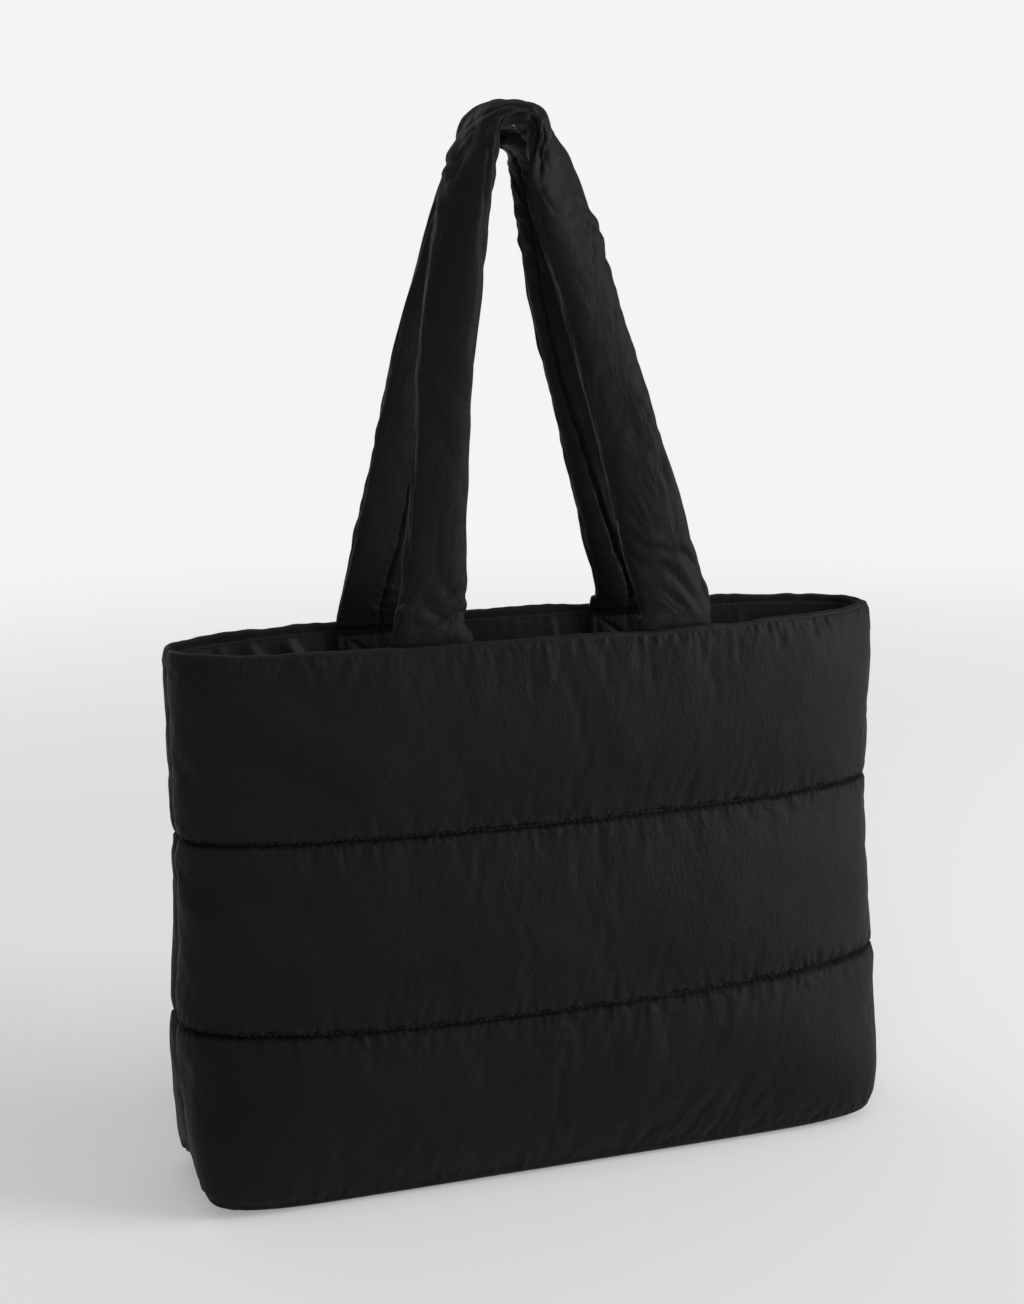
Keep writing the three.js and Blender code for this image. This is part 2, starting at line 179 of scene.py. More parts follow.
@dataclass(frozen=True)
class Fold:
    """One soft fold in the cloth, from one place to another, in metres on the cloth."""

    start: tuple[float, float]
    end: tuple[float, float]
    width: float
    height: float

    def at(self, across: Array, up: Array) -> Array:
        """Height of the fold at each place: a ridge, or a valley where height is negative."""
        (x0, y0), (x1, y1) = self.start, self.end
        run = math.hypot(x1 - x0, y1 - y0)
        along = ((across - x0) * (x1 - x0) + (up - y0) * (y1 - y0)) / run
        off = ((across - x0) * (y1 - y0) - (up - y0) * (x1 - x0)) / run
        share = np.clip(along / run, 0, 1)
        taper = np.sin(math.pi * share) ** 0.7
        beyond = np.maximum(along - run, 0) + np.maximum(-along, 0)
        return self.height * taper * np.exp(-((off / self.width) ** 2) - (beyond / self.width) ** 2)


# Shader building


Value = Union["Signal", float, tuple[float, ...]]


class Signal:
    """One output of a node, whose arithmetic adds Math nodes to the same material."""

    def __init__(self, bench: "NodeBench", socket: bpy.types.NodeSocket) -> None:
        """Wraps a socket of the bench's node tree."""
        self.bench = bench
        self.socket = socket

    def _math(self, operation: str, *values: Value) -> "Signal":
        """A Math node on the given values."""
        return self.bench.node("ShaderNodeMath", {"operation": operation}, dict(enumerate(values)))

    def __add__(self, other: Value) -> "Signal":
        """Sum."""
        return self._math("ADD", self, other)

    __radd__ = __add__

    def __mul__(self, other: Value) -> "Signal":
        """Product."""
        return self._math("MULTIPLY", self, other)

    def __sub__(self, other: Value) -> "Signal":
        """Difference."""
        return self._math("SUBTRACT", self, other)

    def __abs__(self) -> "Signal":
        """Size without sign."""
        return self._math("ABSOLUTE", self)

    def sine(self) -> "Signal":
        """Sine."""
        return self._math("SINE", self)

    def ease(self, low: float, high: float) -> "Signal":
        """0 below low, 1 above high and a smooth climb between them."""
        settings = {"interpolation_type": "SMOOTHSTEP"}
        values = {"Value": self, "From Min": low, "From Max": high, "To Min": 0.0, "To Max": 1.0}
        return self.bench.node("ShaderNodeMapRange", settings, values)


class NodeBench:
    """Builds the nodes of one material or world."""

    def __init__(self, owner: Union[bpy.types.Material, bpy.types.World]) -> None:
        """Empties the owner's node tree and works in it."""
        owner.use_nodes = True
        self.tree = owner.node_tree
        self.tree.nodes.clear()

    def node(
        self,
        kind: str,
        settings: Optional[Mapping[str, object]] = None,
        values: Optional[Mapping[Union[str, int], Value]] = None,
        output: Union[str, int] = 0,
    ) -> Signal:
        """Adds one node.

        Args:
            kind: the node's type.
            settings: its properties, which are set first.
            values: numbers or signals for its inputs, by name or place.
            output: the output to hand back, by name or place.

        Returns:
            The signal of that output.
        """
        made = self.tree.nodes.new(kind)
        for name, setting in (settings or {}).items():
            setattr(made, name, setting)
        for name, value in (values or {}).items():
            if isinstance(value, Signal):
                self.tree.links.new(value.socket, made.inputs[name])
            else:
                made.inputs[name].default_value = value
        return Signal(self, made.outputs[output])

    def mix_colour(self, share: Value, low: Value, high: Value) -> Signal:
        """A colour between two others."""
        settings = {"data_type": "RGBA", "clamp_factor": True}
        return self.node("ShaderNodeMix", settings, {0: share, 6: low, 7: high}, output=2)

    def stretched(self, place: Signal, scale: tuple[float, float, float]) -> Signal:
        """A place with each direction scaled by its own number."""
        return self.node("ShaderNodeVectorMath", {"operation": "MULTIPLY"}, {0: place, 1: scale})

    def noise(self, place: Signal, scale: tuple[float, float, float], detail: float) -> Signal:
        """Noise whose cells have their own size in each direction, as counts in a metre."""
        values = {"Vector": self.stretched(place, scale), "Scale": 1.0, "Detail": detail}
        return self.node("ShaderNodeTexNoise", {"noise_dimensions": "3D"}, values)

    def finish(self, kind: str, surface: Signal) -> None:
        """Connects the surface to an output node of that kind."""
        out = self.tree.nodes.new(kind)
        self.tree.links.new(surface.socket, out.inputs["Surface"])


# Finishes


@dataclass(frozen=True)
class CrinkledNylon:
    """Thin black nylon with a fine crinkle that runs up the cloth."""

    name: str
    deep: tuple[float, float, float, float] = (0.0072, 0.0072, 0.0075, 1)
    worn: tuple[float, float, float, float] = (0.0125, 0.0125, 0.0129, 1)
    roughness: float = 0.56
    specular: float = 0.07
    sheen: float = 0.012
    crinkle_across: float = 680.0
    crinkle_up: float = 230.0
    crinkle_height: float = 0.00027
    weave_count: float = 9000.0
    weave_height: float = 0.000008

    def material(self) -> bpy.types.Material:
        """Builds the material.

        Returns:
            A material that reads the cloth's own lengths from its UV map, in metres, and the
            wear from the attribute named worn.
        """
        made = bpy.data.materials.new(self.name)
        bench = NodeBench(made)
        cloth = bench.node("ShaderNodeUVMap", {"uv_map": "cloth"})
        worn = bench.node("ShaderNodeAttribute", {"attribute_name": "worn"}, output="Fac")
        drift = bench.noise(cloth, (28.0, 28.0, 1.0), 2.0)
        wander = bench.node(
            "ShaderNodeCombineXYZ", {}, {"X": (drift - 0.5) * 0.012, "Y": (drift - 0.5) * 0.006}
        )
        place = bench.node("ShaderNodeVectorMath", {"operation": "ADD"}, {0: cloth, 1: wander})
        crinkle = bench.noise(place, (self.crinkle_across, self.crinkle_up, 1.0), 3.0)
        broad = bench.noise(place, (self.crinkle_across / 3.6, self.crinkle_up / 2.6, 1.0), 2.0)
        across = bench.node("ShaderNodeSeparateXYZ", {}, {0: cloth}, output="X")
        up = bench.node("ShaderNodeSeparateXYZ", {}, {0: cloth}, output="Y")
        weave = (across * self.weave_count).sine() * (up * self.weave_count).sine()
        cloudy = bench.noise(cloth, (14.0, 9.0, 1.0), 2.0)
        lift = crinkle.ease(0.45, 0.75) * 0.35 + cloudy.ease(0.3, 0.7) * 0.25 + worn * 0.6
        colour = bench.mix_colour(lift, self.deep, self.worn)
        height = (
            abs(crinkle - 0.5) * (2.0 * self.crinkle_height)
            + abs(broad - 0.5) * (2.6 * self.crinkle_height)
            + weave * self.weave_height
        )
        relief = {"Strength": 1.0, "Distance": 1.0, "Height": height}
        bump = bench.node("ShaderNodeBump", {}, relief)
        values = {
            "Base Color": colour,
            "Roughness": self.roughness + (cloudy - 0.5) * 0.16 - worn * 0.05,
            "Specular IOR Level": self.specular,
            "Sheen Weight": self.sheen,
            "Sheen Roughness": 0.5,
            "Sheen Tint": (1.0, 1.0, 1.0, 1.0),
            "Normal": bump,
        }
        bench.finish("ShaderNodeOutputMaterial", bench.node("ShaderNodeBsdfPrincipled", {}, values))
        return made


@dataclass(frozen=True)
class TwistedThread:
    """Matte black sewing thread with its twist as fine slanted ribs. Its default colour and tip are
    lighter than the cloth: painted highlight, so the stitches show as light dots in the seam
    groove's shade.
    """

    name: str
    # painted highlight: the default colour and tip are lighter than the black cloth, so the
    # stitches show as light dots in the seam groove's shade
    colour: tuple[float, float, float, float] = (0.030, 0.030, 0.031, 1)
    tip: tuple[float, float, float, float] = (0.058, 0.058, 0.060, 1)
    twist_count: float = 9000.0
    twist_height: float = 0.00003
    fuzz_height: float = 0.00002

    def material(self) -> bpy.types.Material:
        """Builds the material, which reads its place on the bag in metres."""
        made = bpy.data.materials.new(self.name)
        bench = NodeBench(made)
        place = bench.node("ShaderNodeTexCoord", output="Object")
        across = bench.node("ShaderNodeSeparateXYZ", {}, {0: place}, output="X")
        up = bench.node("ShaderNodeSeparateXYZ", {}, {0: place}, output="Z")
        twist = ((across + up) * self.twist_count).sine()
        fuzz = bench.noise(place, (2400.0, 2400.0, 2400.0), 1.0)
        height = twist * self.twist_height + fuzz * self.fuzz_height
        values = {
            # with the default tones this colour is painted highlight on the stitches
            "Base Color": bench.mix_colour(fuzz, self.colour, self.tip),
            "Roughness": 0.62 + (fuzz - 0.5) * 0.2,
            "Specular IOR Level": 0.25,
            "Normal": bench.node("ShaderNodeBump", {}, {"Distance": 1.0, "Height": height}),
        }
        bench.finish("ShaderNodeOutputMaterial", bench.node("ShaderNodeBsdfPrincipled", {}, values))
        return made


@dataclass(frozen=True)
class PaperSweep:
    """Pale studio paper that fades into the backdrop's own tone away from the bag."""

    name: str
    paper: tuple[float, float, float, float] = (0.86, 0.86, 0.86, 1)
    far: tuple[float, float, float, float] = (0.90, 0.90, 0.90, 1)
    fade_from: float = 0.7
    fade_to: float = 2.6
    glow: float = 0.27

    def material(self) -> bpy.types.Material:
        """Builds the material."""
        made = bpy.data.materials.new(self.name)
        bench = NodeBench(made)
        place = bench.node("ShaderNodeTexCoord", output="Object")
        length = {"operation": "LENGTH"}
        reach = bench.node("ShaderNodeVectorMath", length, {0: place}, output="Value")
        grain = bench.noise(place, (300.0, 300.0, 300.0), 2.0)
        tone = bench.mix_colour(grain * 0.04, self.paper, self.far)
        paper = bench.node("ShaderNodeBsdfDiffuse", {}, {"Color": tone, "Roughness": 0.6})
        glow = bench.node("ShaderNodeEmission", {}, {"Color": self.far, "Strength": 1.0})
        far = reach.ease(self.fade_from, self.fade_to) * (1 - self.glow) + self.glow
        values = {0: far, 1: paper, 2: glow}
        bench.finish("ShaderNodeOutputMaterial", bench.node("ShaderNodeMixShader", {}, values))
        return made


# Cloth making


def flat_cut(columns: int, rows: int, filled: bool) -> bmesh.types.BMesh:
    """A flat rectangle of cloth, of side 1 and centred, as a grid of cells.

    Args:
        columns: cells across.
        rows: cells up.
        filled: whether it has a second face, at height 1, joined to the first all round.

    Returns:
        The mesh, which the caller frees.
    """
    cut = bmesh.new()
    bmesh.ops.create_grid(cut, x_segments=columns, y_segments=rows, size=0.5)
    if filled:
        grown = bmesh.ops.extrude_face_region(cut, geom=cut.faces[:], use_keep_orig=True)
        risen = [item for item in grown["geom"] if isinstance(item, bmesh.types.BMVert)]
        bmesh.ops.translate(cut, verts=risen, vec=(0, 0, 1))
    return cut


def cut_places(mesh: bpy.types.Mesh, rows: int, columns: int) -> tuple[Array, Array, Array]:
    """Row, column and face of each point of a flat cut."""
    flat = np.zeros(len(mesh.vertices) * 3, np.float32)
    mesh.vertices.foreach_get("co", flat)
    flat = flat.reshape(-1, 3)
    row = np.rint((flat[:, 1] + 0.5) * rows).astype(int)
    column = np.rint((flat[:, 0] + 0.5) * columns).astype(int)
    return row, column, np.rint(flat[:, 2]).astype(int)


def draped(
    name: str,
    faces: Sequence[Array],
    finish: bpy.types.Material,
    worn: Optional[Array] = None,
    weld: float = 1e-6,
) -> bpy.types.Object:
    """Drapes a flat cut of cloth over a grid of places.

    Args:
        name: the piece's name.
        faces: one grid of places, rows by columns by 3, or two for a filled piece, the inner
            face first.
        finish: the cloth's material.
        worn: how worn each place is, rows by columns.
        weld: points closer than this become one.

    Returns:
        The piece, with smooth faces that point outwards.
    """
    rows, columns = faces[0].shape[0] - 1, faces[0].shape[1] - 1
    cut = flat_cut(columns, rows, len(faces) == 2)
    mesh = bpy.data.meshes.new(name)
    cut.to_mesh(mesh)
    row, column, face = cut_places(mesh, rows, columns)
    places = np.stack(faces)[face, row, column]
    mesh.vertices.foreach_set("co", places.astype(np.float32).ravel())
    lengths = cloth_lengths(faces[-1])[row, column]
    corner = np.zeros(len(mesh.loops), np.int32)
    mesh.loops.foreach_get("vertex_index", corner)
    chart = mesh.uv_layers.new(name="cloth")
    chart.data.foreach_set("uv", lengths[corner].astype(np.float32).ravel())
    wear = mesh.attributes.new("worn", "FLOAT", "POINT")
    if worn is not None:
        wear.data.foreach_set("value", worn[row, column].astype(np.float32))
    cut.clear()
    cut.from_mesh(mesh)
    bmesh.ops.remove_doubles(cut, verts=cut.verts[:], dist=weld)
    bmesh.ops.recalc_face_normals(cut, faces=cut.faces[:])
    for each in cut.faces:
        each.smooth = True
    cut.to_mesh(mesh)
    cut.free()
    piece = bpy.data.objects.new(name, mesh)
    bpy.context.scene.collection.objects.link(piece)
    mesh.materials.append(finish)
    return piece


@dataclass(frozen=True)
class PaddingSimulation:
    """Blows up a padded piece as cloth that is held down at its seams."""

    pressure: float = 4.0
    growth: float = 0.0035
    stiffness: float = 12.0
    bending: float = 0.02
    mass: float = 0.2
    quality: int = 4
    frames: int = 20
    most: float = 0.008

    def movement(self, name: str, faces: Sequence[Array], held: Array) -> Array:
        """Runs the cloth and reads how far its outer face moves.

        Args:
            name: a name for the trial piece, which doesn't stay.
            faces: the inner and the outer face, each rows by columns by 3.
            held: 1 where the outer face is sewn down and 0 where it is free, rows by columns.

        Returns:
            The movement of each place of the outer face, never more than the most allowed.
        """
        rows, columns = held.shape[0] - 1, held.shape[1] - 1
        cut = flat_cut(columns, rows, True)
        mesh = bpy.data.meshes.new(name)
        cut.to_mesh(mesh)
        row, column, face = cut_places(mesh, rows, columns)
        start = np.stack(faces)[face, row, column]
        mesh.vertices.foreach_set("co", start.astype(np.float32).ravel())
        cut.clear()
        cut.from_mesh(mesh)
        bmesh.ops.recalc_face_normals(cut, faces=cut.faces[:])
        cut.to_mesh(mesh)
        cut.free()
        trial = bpy.data.objects.new(name, mesh)
        bpy.context.scene.collection.objects.link(trial)
        sewn = trial.vertex_groups.new(name="sewn down")
        still = np.flatnonzero((face == 0) | (held[row, column] > 0.5))
        sewn.add([int(number) for number in still], 1.0, "REPLACE")
        self._cloth(trial, sewn.name)
        moved = self._run(trial, len(start)) - start
        bpy.data.objects.remove(trial)
        length = np.linalg.norm(moved, axis=1, keepdims=True)
        moved = moved * np.minimum(1, self.most / np.maximum(length, 1e-9))
        log.info("%s: moved %.1f mm on average", name, 1000 * float(length[face == 1].mean()))
        outer = np.zeros((rows + 1, columns + 1, 3))
        outer[row[face == 1], column[face == 1]] = moved[face == 1]
        return outer

    def _cloth(self, trial: bpy.types.Object, sewn: str) -> None:
        """Adds the cloth to the trial piece."""
        cloth = trial.modifiers.new("padding", "CLOTH")
        settings = cloth.settings
        settings.quality, settings.mass = self.quality, self.mass
        settings.tension_stiffness = settings.compression_stiffness = self.stiffness
        settings.shear_stiffness = self.stiffness / 3
        settings.bending_stiffness = self.bending
        settings.use_pressure = True
        settings.uniform_pressure_force = self.pressure
        settings.shrink_min = -self.growth
        settings.effector_weights.gravity = 0
        settings.vertex_group_mass = sewn
        cloth.point_cache.frame_start, cloth.point_cache.frame_end = 1, self.frames

    def _run(self, trial: bpy.types.Object, count: int) -> Array:
        """Steps through the frames and reads where each point comes to rest."""
        scene = bpy.context.scene
        for frame in range(1, self.frames + 1):
            scene.frame_set(frame)
        settled = bpy.data.meshes.new_from_object(
            trial.evaluated_get(bpy.context.evaluated_depsgraph_get())
        )
        places = np.zeros(count * 3, np.float32)
        settled.vertices.foreach_get("co", places)
        bpy.data.meshes.remove(settled)
        scene.frame_set(1)
        return places.reshape(-1, 3).astype(float)


def settle_in(piece: bpy.types.Object, slot: str, *nodes: str) -> bpy.types.Object:
    """Lets a piece ride with the bag and stand for its solids."""
    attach(piece, "root")
    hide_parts(*nodes)
    log.info("%s: %d faces", piece.name, len(piece.data.polygons))
    return piece


@dataclass(frozen=True)
class SewnPath:
    """A line to stitch along, with the way that the cloth faces at each point of it."""

    points: Array
    outward: Array


@dataclass
class Topstitching:
    """Lines of small raised stitches."""

    name: str
    stitch: float = 0.0029
    gap: float = 0.0012
    thickness: float = 0.0009
    depth: float = 0.0009

    def sew(self, paths: Sequence[SewnPath], finish: bpy.types.Material) -> bpy.types.Object:
        """Sews every path.

        Args:
            paths: the lines to follow.
            finish: the thread's material.

        Returns:
            One piece that holds all the stitches.
        """
        work = bmesh.new()
        for path in paths:
            self._run(work, path)
        bmesh.ops.recalc_face_normals(work, faces=work.faces[:])
        for each in work.faces:
            each.smooth = True
        mesh = bpy.data.meshes.new(self.name)
        work.to_mesh(mesh)
        work.free()
        mesh.materials.append(finish)
        piece = bpy.data.objects.new(self.name, mesh)
        bpy.context.scene.collection.objects.link(piece)
        return piece

    def _run(self, work: bmesh.types.BMesh, path: SewnPath) -> None:
        """Adds the stitches of one path."""
        steps = np.linalg.norm(np.diff(path.points, axis=0), axis=1)
        length = np.concatenate([[0.0], np.cumsum(steps)])
        starts = np.arange(self.gap, length[-1] - self.stitch, self.stitch + self.gap)

        def read(values: Array, share: float) -> Array:
            """The path's values at a share of the way along each stitch."""
            at = starts + share * self.stitch
            return np.stack([np.interp(at, length, values[:, axis]) for axis in range(3)], axis=-1)

        ends = [read(path.points, share) for share in (0.0, 0.5, 1.0)]
        for first, middle, last, out in zip(*ends, read(path.outward, 0.5)):
            along = Vector(last - first).normalized()
            away = Vector(out)
            away = (away - along * away.dot(along)).normalized()
            across = along.cross(away)
            turned = Matrix((along, across, away)).transposed().to_4x4()
            size = Matrix.Diagonal((self.stitch / 2, self.thickness / 2, self.depth / 2, 1))
            place = Matrix.Translation(Vector(middle)) @ turned @ size
            bmesh.ops.create_icosphere(work, subdivisions=1, radius=1.0, matrix=place)


# The body of the bag


class Side(Enum):
    """The two long sides of the bag, as the sign of Y."""

    FRONT = -1
    BACK = 1


@dataclass(frozen=True)
class Channel:
    """One quilted channel between two sewn lines, as levels of the wall's height."""

    low: float
    high: float
    side_puff: float


@dataclass(frozen=True)
class Spots:
    """Places along half ovals, each array being levels by columns."""

    x: Array
    y: Array
    out_x: Array
    out_y: Array
    walked: Array
    seam_distance: Array


@dataclass(frozen=True)
class BodyShape:
    """The oval tube that the walls, the lining and the base share."""

    rim_height: float = 0.340
    rim_width: float = 0.449
    rim_depth: float = 0.104
    bottom_seam: float = 0.006
    corner_lift: float = 0.017
    lower_seam_dip: float = 0.0025
    seam_thickness: float = 0.0024
    rim_thickness: float = 0.006
    rim_rounding: float = 0.002
    side_puff_reach: float = 0.040
    end_power: float = 1.5
    samples: int = 900
    # level, width and depth as shares of the rim's, and the squareness of the oval
    sections: tuple[Row, ...] = (
        (0.0, 0.985, 0.95, 9.0),
        (0.15, 0.996, 1.12, 4.0),
        (0.324, 1.017, 1.2, 2.5),
        (0.5, 1.0, 1.12, 2.3),
        (0.667, 1.002, 0.98, 2.3),
        (0.85, 0.994, 0.99, 2.35),
        (1.0, 1.0, 1.0, 2.4),
    )
    channels: tuple[Channel, ...] = (
        Channel(0.0, 0.324, 0.6),
        Channel(0.324, 0.667, 0.4),
        Channel(0.667, 1.0, 0.4),
    )

    @property
    def wall_top(self) -> float:
        """Height where the rim starts to round over."""
        return self.rim_height - self.rim_rounding

    def ovals(self, levels: Array) -> tuple[Array, Array, Array]:
        """Half width, half depth and squareness of the oval at each level."""
        found = rows_at(self.sections, levels)
        return found[:, 1] * self.rim_width / 2, found[:, 2] * self.rim_depth / 2, found[:, 3]

    def walk(self, levels: Array, shares: Array) -> Spots:
        """Walks the half oval of each level from the left side seam to the right one.

        Args:
            levels: shares of the wall's height.
            shares: shares of each half oval's length.

        Returns:
            The places, with y from 0 at the seams outwards.
        """
        angle = np.linspace(0, math.pi, self.samples)
        shape = (len(levels), len(shares))
        x, y, walked = np.zeros(shape), np.zeros(shape), np.zeros(shape)
        length = np.zeros((len(levels), 1))
        half_width, half_depth, power = self.ovals(levels)
        for row in range(len(levels)):
            trail_x = -half_width[row] * signed_power(np.cos(angle), 2 / power[row])
            trail_y = half_depth[row] * np.abs(np.sin(angle)) ** (2 / power[row])
            run = np.concatenate([[0.0], np.cumsum(np.hypot(np.diff(trail_x), np.diff(trail_y)))])
            walked[row] = shares * run[-1]
            length[row] = run[-1]
            x[row] = np.interp(walked[row], run, trail_x)
            y[row] = np.interp(walked[row], run, trail_y)
        x[:, 0], x[:, -1] = -half_width, half_width
        y[:, 0] = y[:, -1] = 0
        wide, deep, square = half_width[:, None], half_depth[:, None], power[:, None]
        slope_x = signed_power(x / wide, square - 1) / wide
        slope_y = signed_power(y / deep, square - 1) / deep
        steep = np.hypot(slope_x, slope_y)
        near = np.minimum(walked, length - walked)
        return Spots(x, y, slope_x / steep, slope_y / steep, walked - length / 2, near)

    def climb(self, shares: Array) -> Array:
        """Share of the corner lift under each column: 1 at mid end, 0 on a long side."""
        bottom = self.walk(np.array([0.0]), shares)
        half_depth = self.ovals(np.array([0.0]))[1][0]
        return 1 - np.clip(np.abs(bottom.y[0] / half_depth), 0, 1) ** self.end_power

    def heights(self, levels: Array, shares: Array) -> Array:
        """Height of each place of a wall, levels by columns."""
        bottom = self.bottom_seam + self.corner_lift * self.climb(shares)
        lower = self.channels[0].high
        seam = self.bottom_seam + lower * (self.wall_top - self.bottom_seam)
        seam = seam - self.lower_seam_dip * np.sin(math.pi * shares)
        level = levels[:, None]
        under = blend(bottom, seam, level / lower)
        over = blend(seam, self.wall_top, (level - lower) / (1 - lower))
        return np.where(level <= lower, under, over)

    def half_thickness(self, share: Array) -> Array:
        """Half the sewn wall's thickness at a share of the way up its top channel."""
        return blend(self.seam_thickness, self.rim_thickness, share) / 2

    def swelling(self, side_puff: Array, seam_distance: Array) -> Array:
        """Share of the padding's swelling at a distance from the side seam."""
        away = np.clip(seam_distance / self.side_puff_reach, 0, 1)
        return blend(side_puff, 1, np.sin(away * math.pi / 2))

    def beside(self, side: Side, spots: Spots, push: Array, heights: Array) -> Array:
        """Points beside the middle of a wall, where push is positive outwards."""
        x = spots.x + spots.out_x * push
        y = side.value * np.maximum(spots.y + spots.out_y * push, 0)
        return np.stack([x, y, heights], axis=-1)


@dataclass(frozen=True)
class Pucker:
    """One size of the small folds beside a sewn line.

    Height and reach are in metres, across and up are how many folds there are in a metre, and
    lane picks a part of the noise of their own.
    """

    height: float
    across: float
    up: float
    lane: float
    reach: float
    creased: bool = True

    def at(self, noise: Crumple, place: Array, away: Array) -> Array:
        """Height of the folds at places along the line and distances away from it."""
        read = noise.creased if self.creased else noise.at
        ridges = read(place * self.across, away * self.up + self.lane)
        return self.height * ridges * np.exp(-away / self.reach)


@dataclass(frozen=True)
class GatherZone:
    """A stretch of a sewn line where the cloth is gathered into longer folds.

    Middle and spread are metres along the line, reach is how long the folds are, lean how far
    they slant, and depth is their height.
    """

    line: int
    upward: bool
    middle: float
    spread: float
    reach: float
    lean: float
    depth: float


@dataclass
class QuiltedWall:
    """One long wall of the bag: three padded channels between sewn lines, under a rolled rim."""

    shape: BodyShape
    side: Side
    seed: int
    zones: Sequence[GatherZone] = ()
    folds: Sequence[Fold] = ()
    puckers: tuple[Pucker, ...] = (
        Pucker(height=0.00250, across=205, up=55, lane=3, reach=0.0046),
        Pucker(height=0.00105, across=105, up=34, lane=31, reach=0.0120),
        Pucker(height=0.00050, across=40, up=16, lane=71, reach=0.0260, creased=False),
    )
    channel_puff: float = 0.0095
    start_puff: float = 0.0065
    cloth_rows: int = 22
    cloth_columns: int = 114
    cloth_crowding: float = 0.3
    cloth_lumps: float = 0.0006
    inner_puff: float = 0.0030
    pillow_power: float = 0.52
    columns: int = 450
    channel_rows: int = 48
    row_crowding: float = 0.82
    column_crowding: float = 0.30
    rim_rows: int = 7
    seam_calm: float = 0.0009
    seam_shoulder: float = 0.0036
    shoulder_reach: float = 0.012
    ragged_fine: float = 0.0009
    ragged_broad: float = 0.0006
    side_pinch: float = 0.0030
    side_pinch_reach: float = 0.0045
    end_pinch: float = 0.0030
    end_reach: float = 0.014
    end_height: float = 0.0075
    lumps: float = 0.0011
    fibres: float = 0.00006
    veins: float = 0.00009
    sewn_wander: float = 0.0005
    rim_wander: float = 0.0011
    rim_wear_reach: float = 0.004
    edge_wear: float = 0.6
    edge_wear_reach: float = 0.006
    stitch_lift: float = 0.00005

    def build(self, name: str, node: str, cloth: bpy.types.Material) -> bpy.types.Object:
        """Makes the wall and dresses it.

        Args:
            name: the piece's name.
            node: the solid that it stands for.
            cloth: its material.

        Returns:
            The padded piece.
        """
        self._lay_out()
        outer = self._outer_face()
        inner = self._inner_face()
        worn = self._wear()
        piece = draped(name, [inner, outer], cloth, worn)
        self.outer = outer
        return settle_in(piece, "shell", node)

    def _lay_out(self) -> None:
        """Works out where each row and column of the cloth lies."""
        even = np.linspace(0, 1, self.columns + 1)
        self.shares = even - self.column_crowding * np.sin(2 * math.pi * even) / (2 * math.pi)
        rows = self._rows(self.channel_rows, self.row_crowding)
        rows += [(1.0, 0.0, self.shape.channels[-1].side_puff, 1.0)] * self.rim_rows
        table = np.array(rows)
        self.levels = table[:, 0]
        self.pillow = table[:, 1:2]
        turn = np.zeros(len(rows))
        turn[-self.rim_rows:] = np.arange(1, self.rim_rows + 1) / self.rim_rows * math.pi / 2
        self.turn = turn[:, None]
        self.half = self.shape.half_thickness(table[:, 3:4])
        self.spots = self.shape.walk(self.levels, self.shares)
        self.swell = self.shape.swelling(table[:, 2:3], self.spots.seam_distance)
        self.heights = self.shape.heights(self.levels, self.shares)
        self.lines = [0] + [self.channel_rows * (n + 1) for n in range(3)]

    def _rows(self, count: int, crowding: float) -> list[Row]:
        """Rows of the cloth up the three channels.

        Args:
            count: rows in a channel.
            crowding: how strongly they crowd towards the sewn lines.

        Returns:
            Level, share of the swelling, side puff and share of the top channel of each row.
        """
        rows: list[Row] = []
        for number, channel in enumerate(self.shape.channels):
            last = number == len(self.shape.channels) - 1
            for step in range(count + (1 if last else 0)):
                share = step / count
                share -= crowding * math.sin(2 * math.pi * share) / (2 * math.pi)
                share = min(max(share, 0.0), 1.0)
                pillow = math.sin(math.pi * share) ** self.pillow_power if 0 < step < count else 0.0
                level = blend(channel.low, channel.high, share)
                rows.append((level, pillow, channel.side_puff, share if last else 0.0))
        return rows

    def _swelling(self) -> Array:
        """Movement of the outer face as the padding swells, from a cloth simulation."""
        table = np.array(self._rows(self.cloth_rows, self.cloth_crowding))
        shares = np.linspace(0, 1, self.cloth_columns + 1)
        spots = self.shape.walk(table[:, 0], shares)
        heights = self.shape.heights(table[:, 0], shares)
        swell = table[:, 1:2] * self.shape.swelling(table[:, 2:3], spots.seam_distance)
        half = self.shape.half_thickness(table[:, 3:4])
        noise = Crumple(self.seed + 401)
        uneven = self.cloth_lumps * noise.at(spots.walked * 60, heights * 40) * table[:, 1:2]
        outward, inward = half + self.start_puff * swell + uneven, -half - self.inner_puff * swell
        outer = self.shape.beside(self.side, spots, outward, heights)
        inner = self.shape.beside(self.side, spots, inward, heights)
        held = np.zeros(heights.shape)
        held[:: self.cloth_rows] = 1
        held[:, 0] = held[:, -1] = 1
        moved = PaddingSimulation().movement("wall_trial", [inner, outer], held)
        return resampled(moved, table[:, 0], shares, self.levels, self.shares)

    def _beyond(self, line: int, upward: bool) -> tuple[Array, Array]:
        """Distance beyond a sewn line on one side of it, and whether each place is on that side."""
        offset = self.heights - self.heights[line]
        offset = offset if upward else -offset
        return np.maximum(offset, 0), offset >= 0

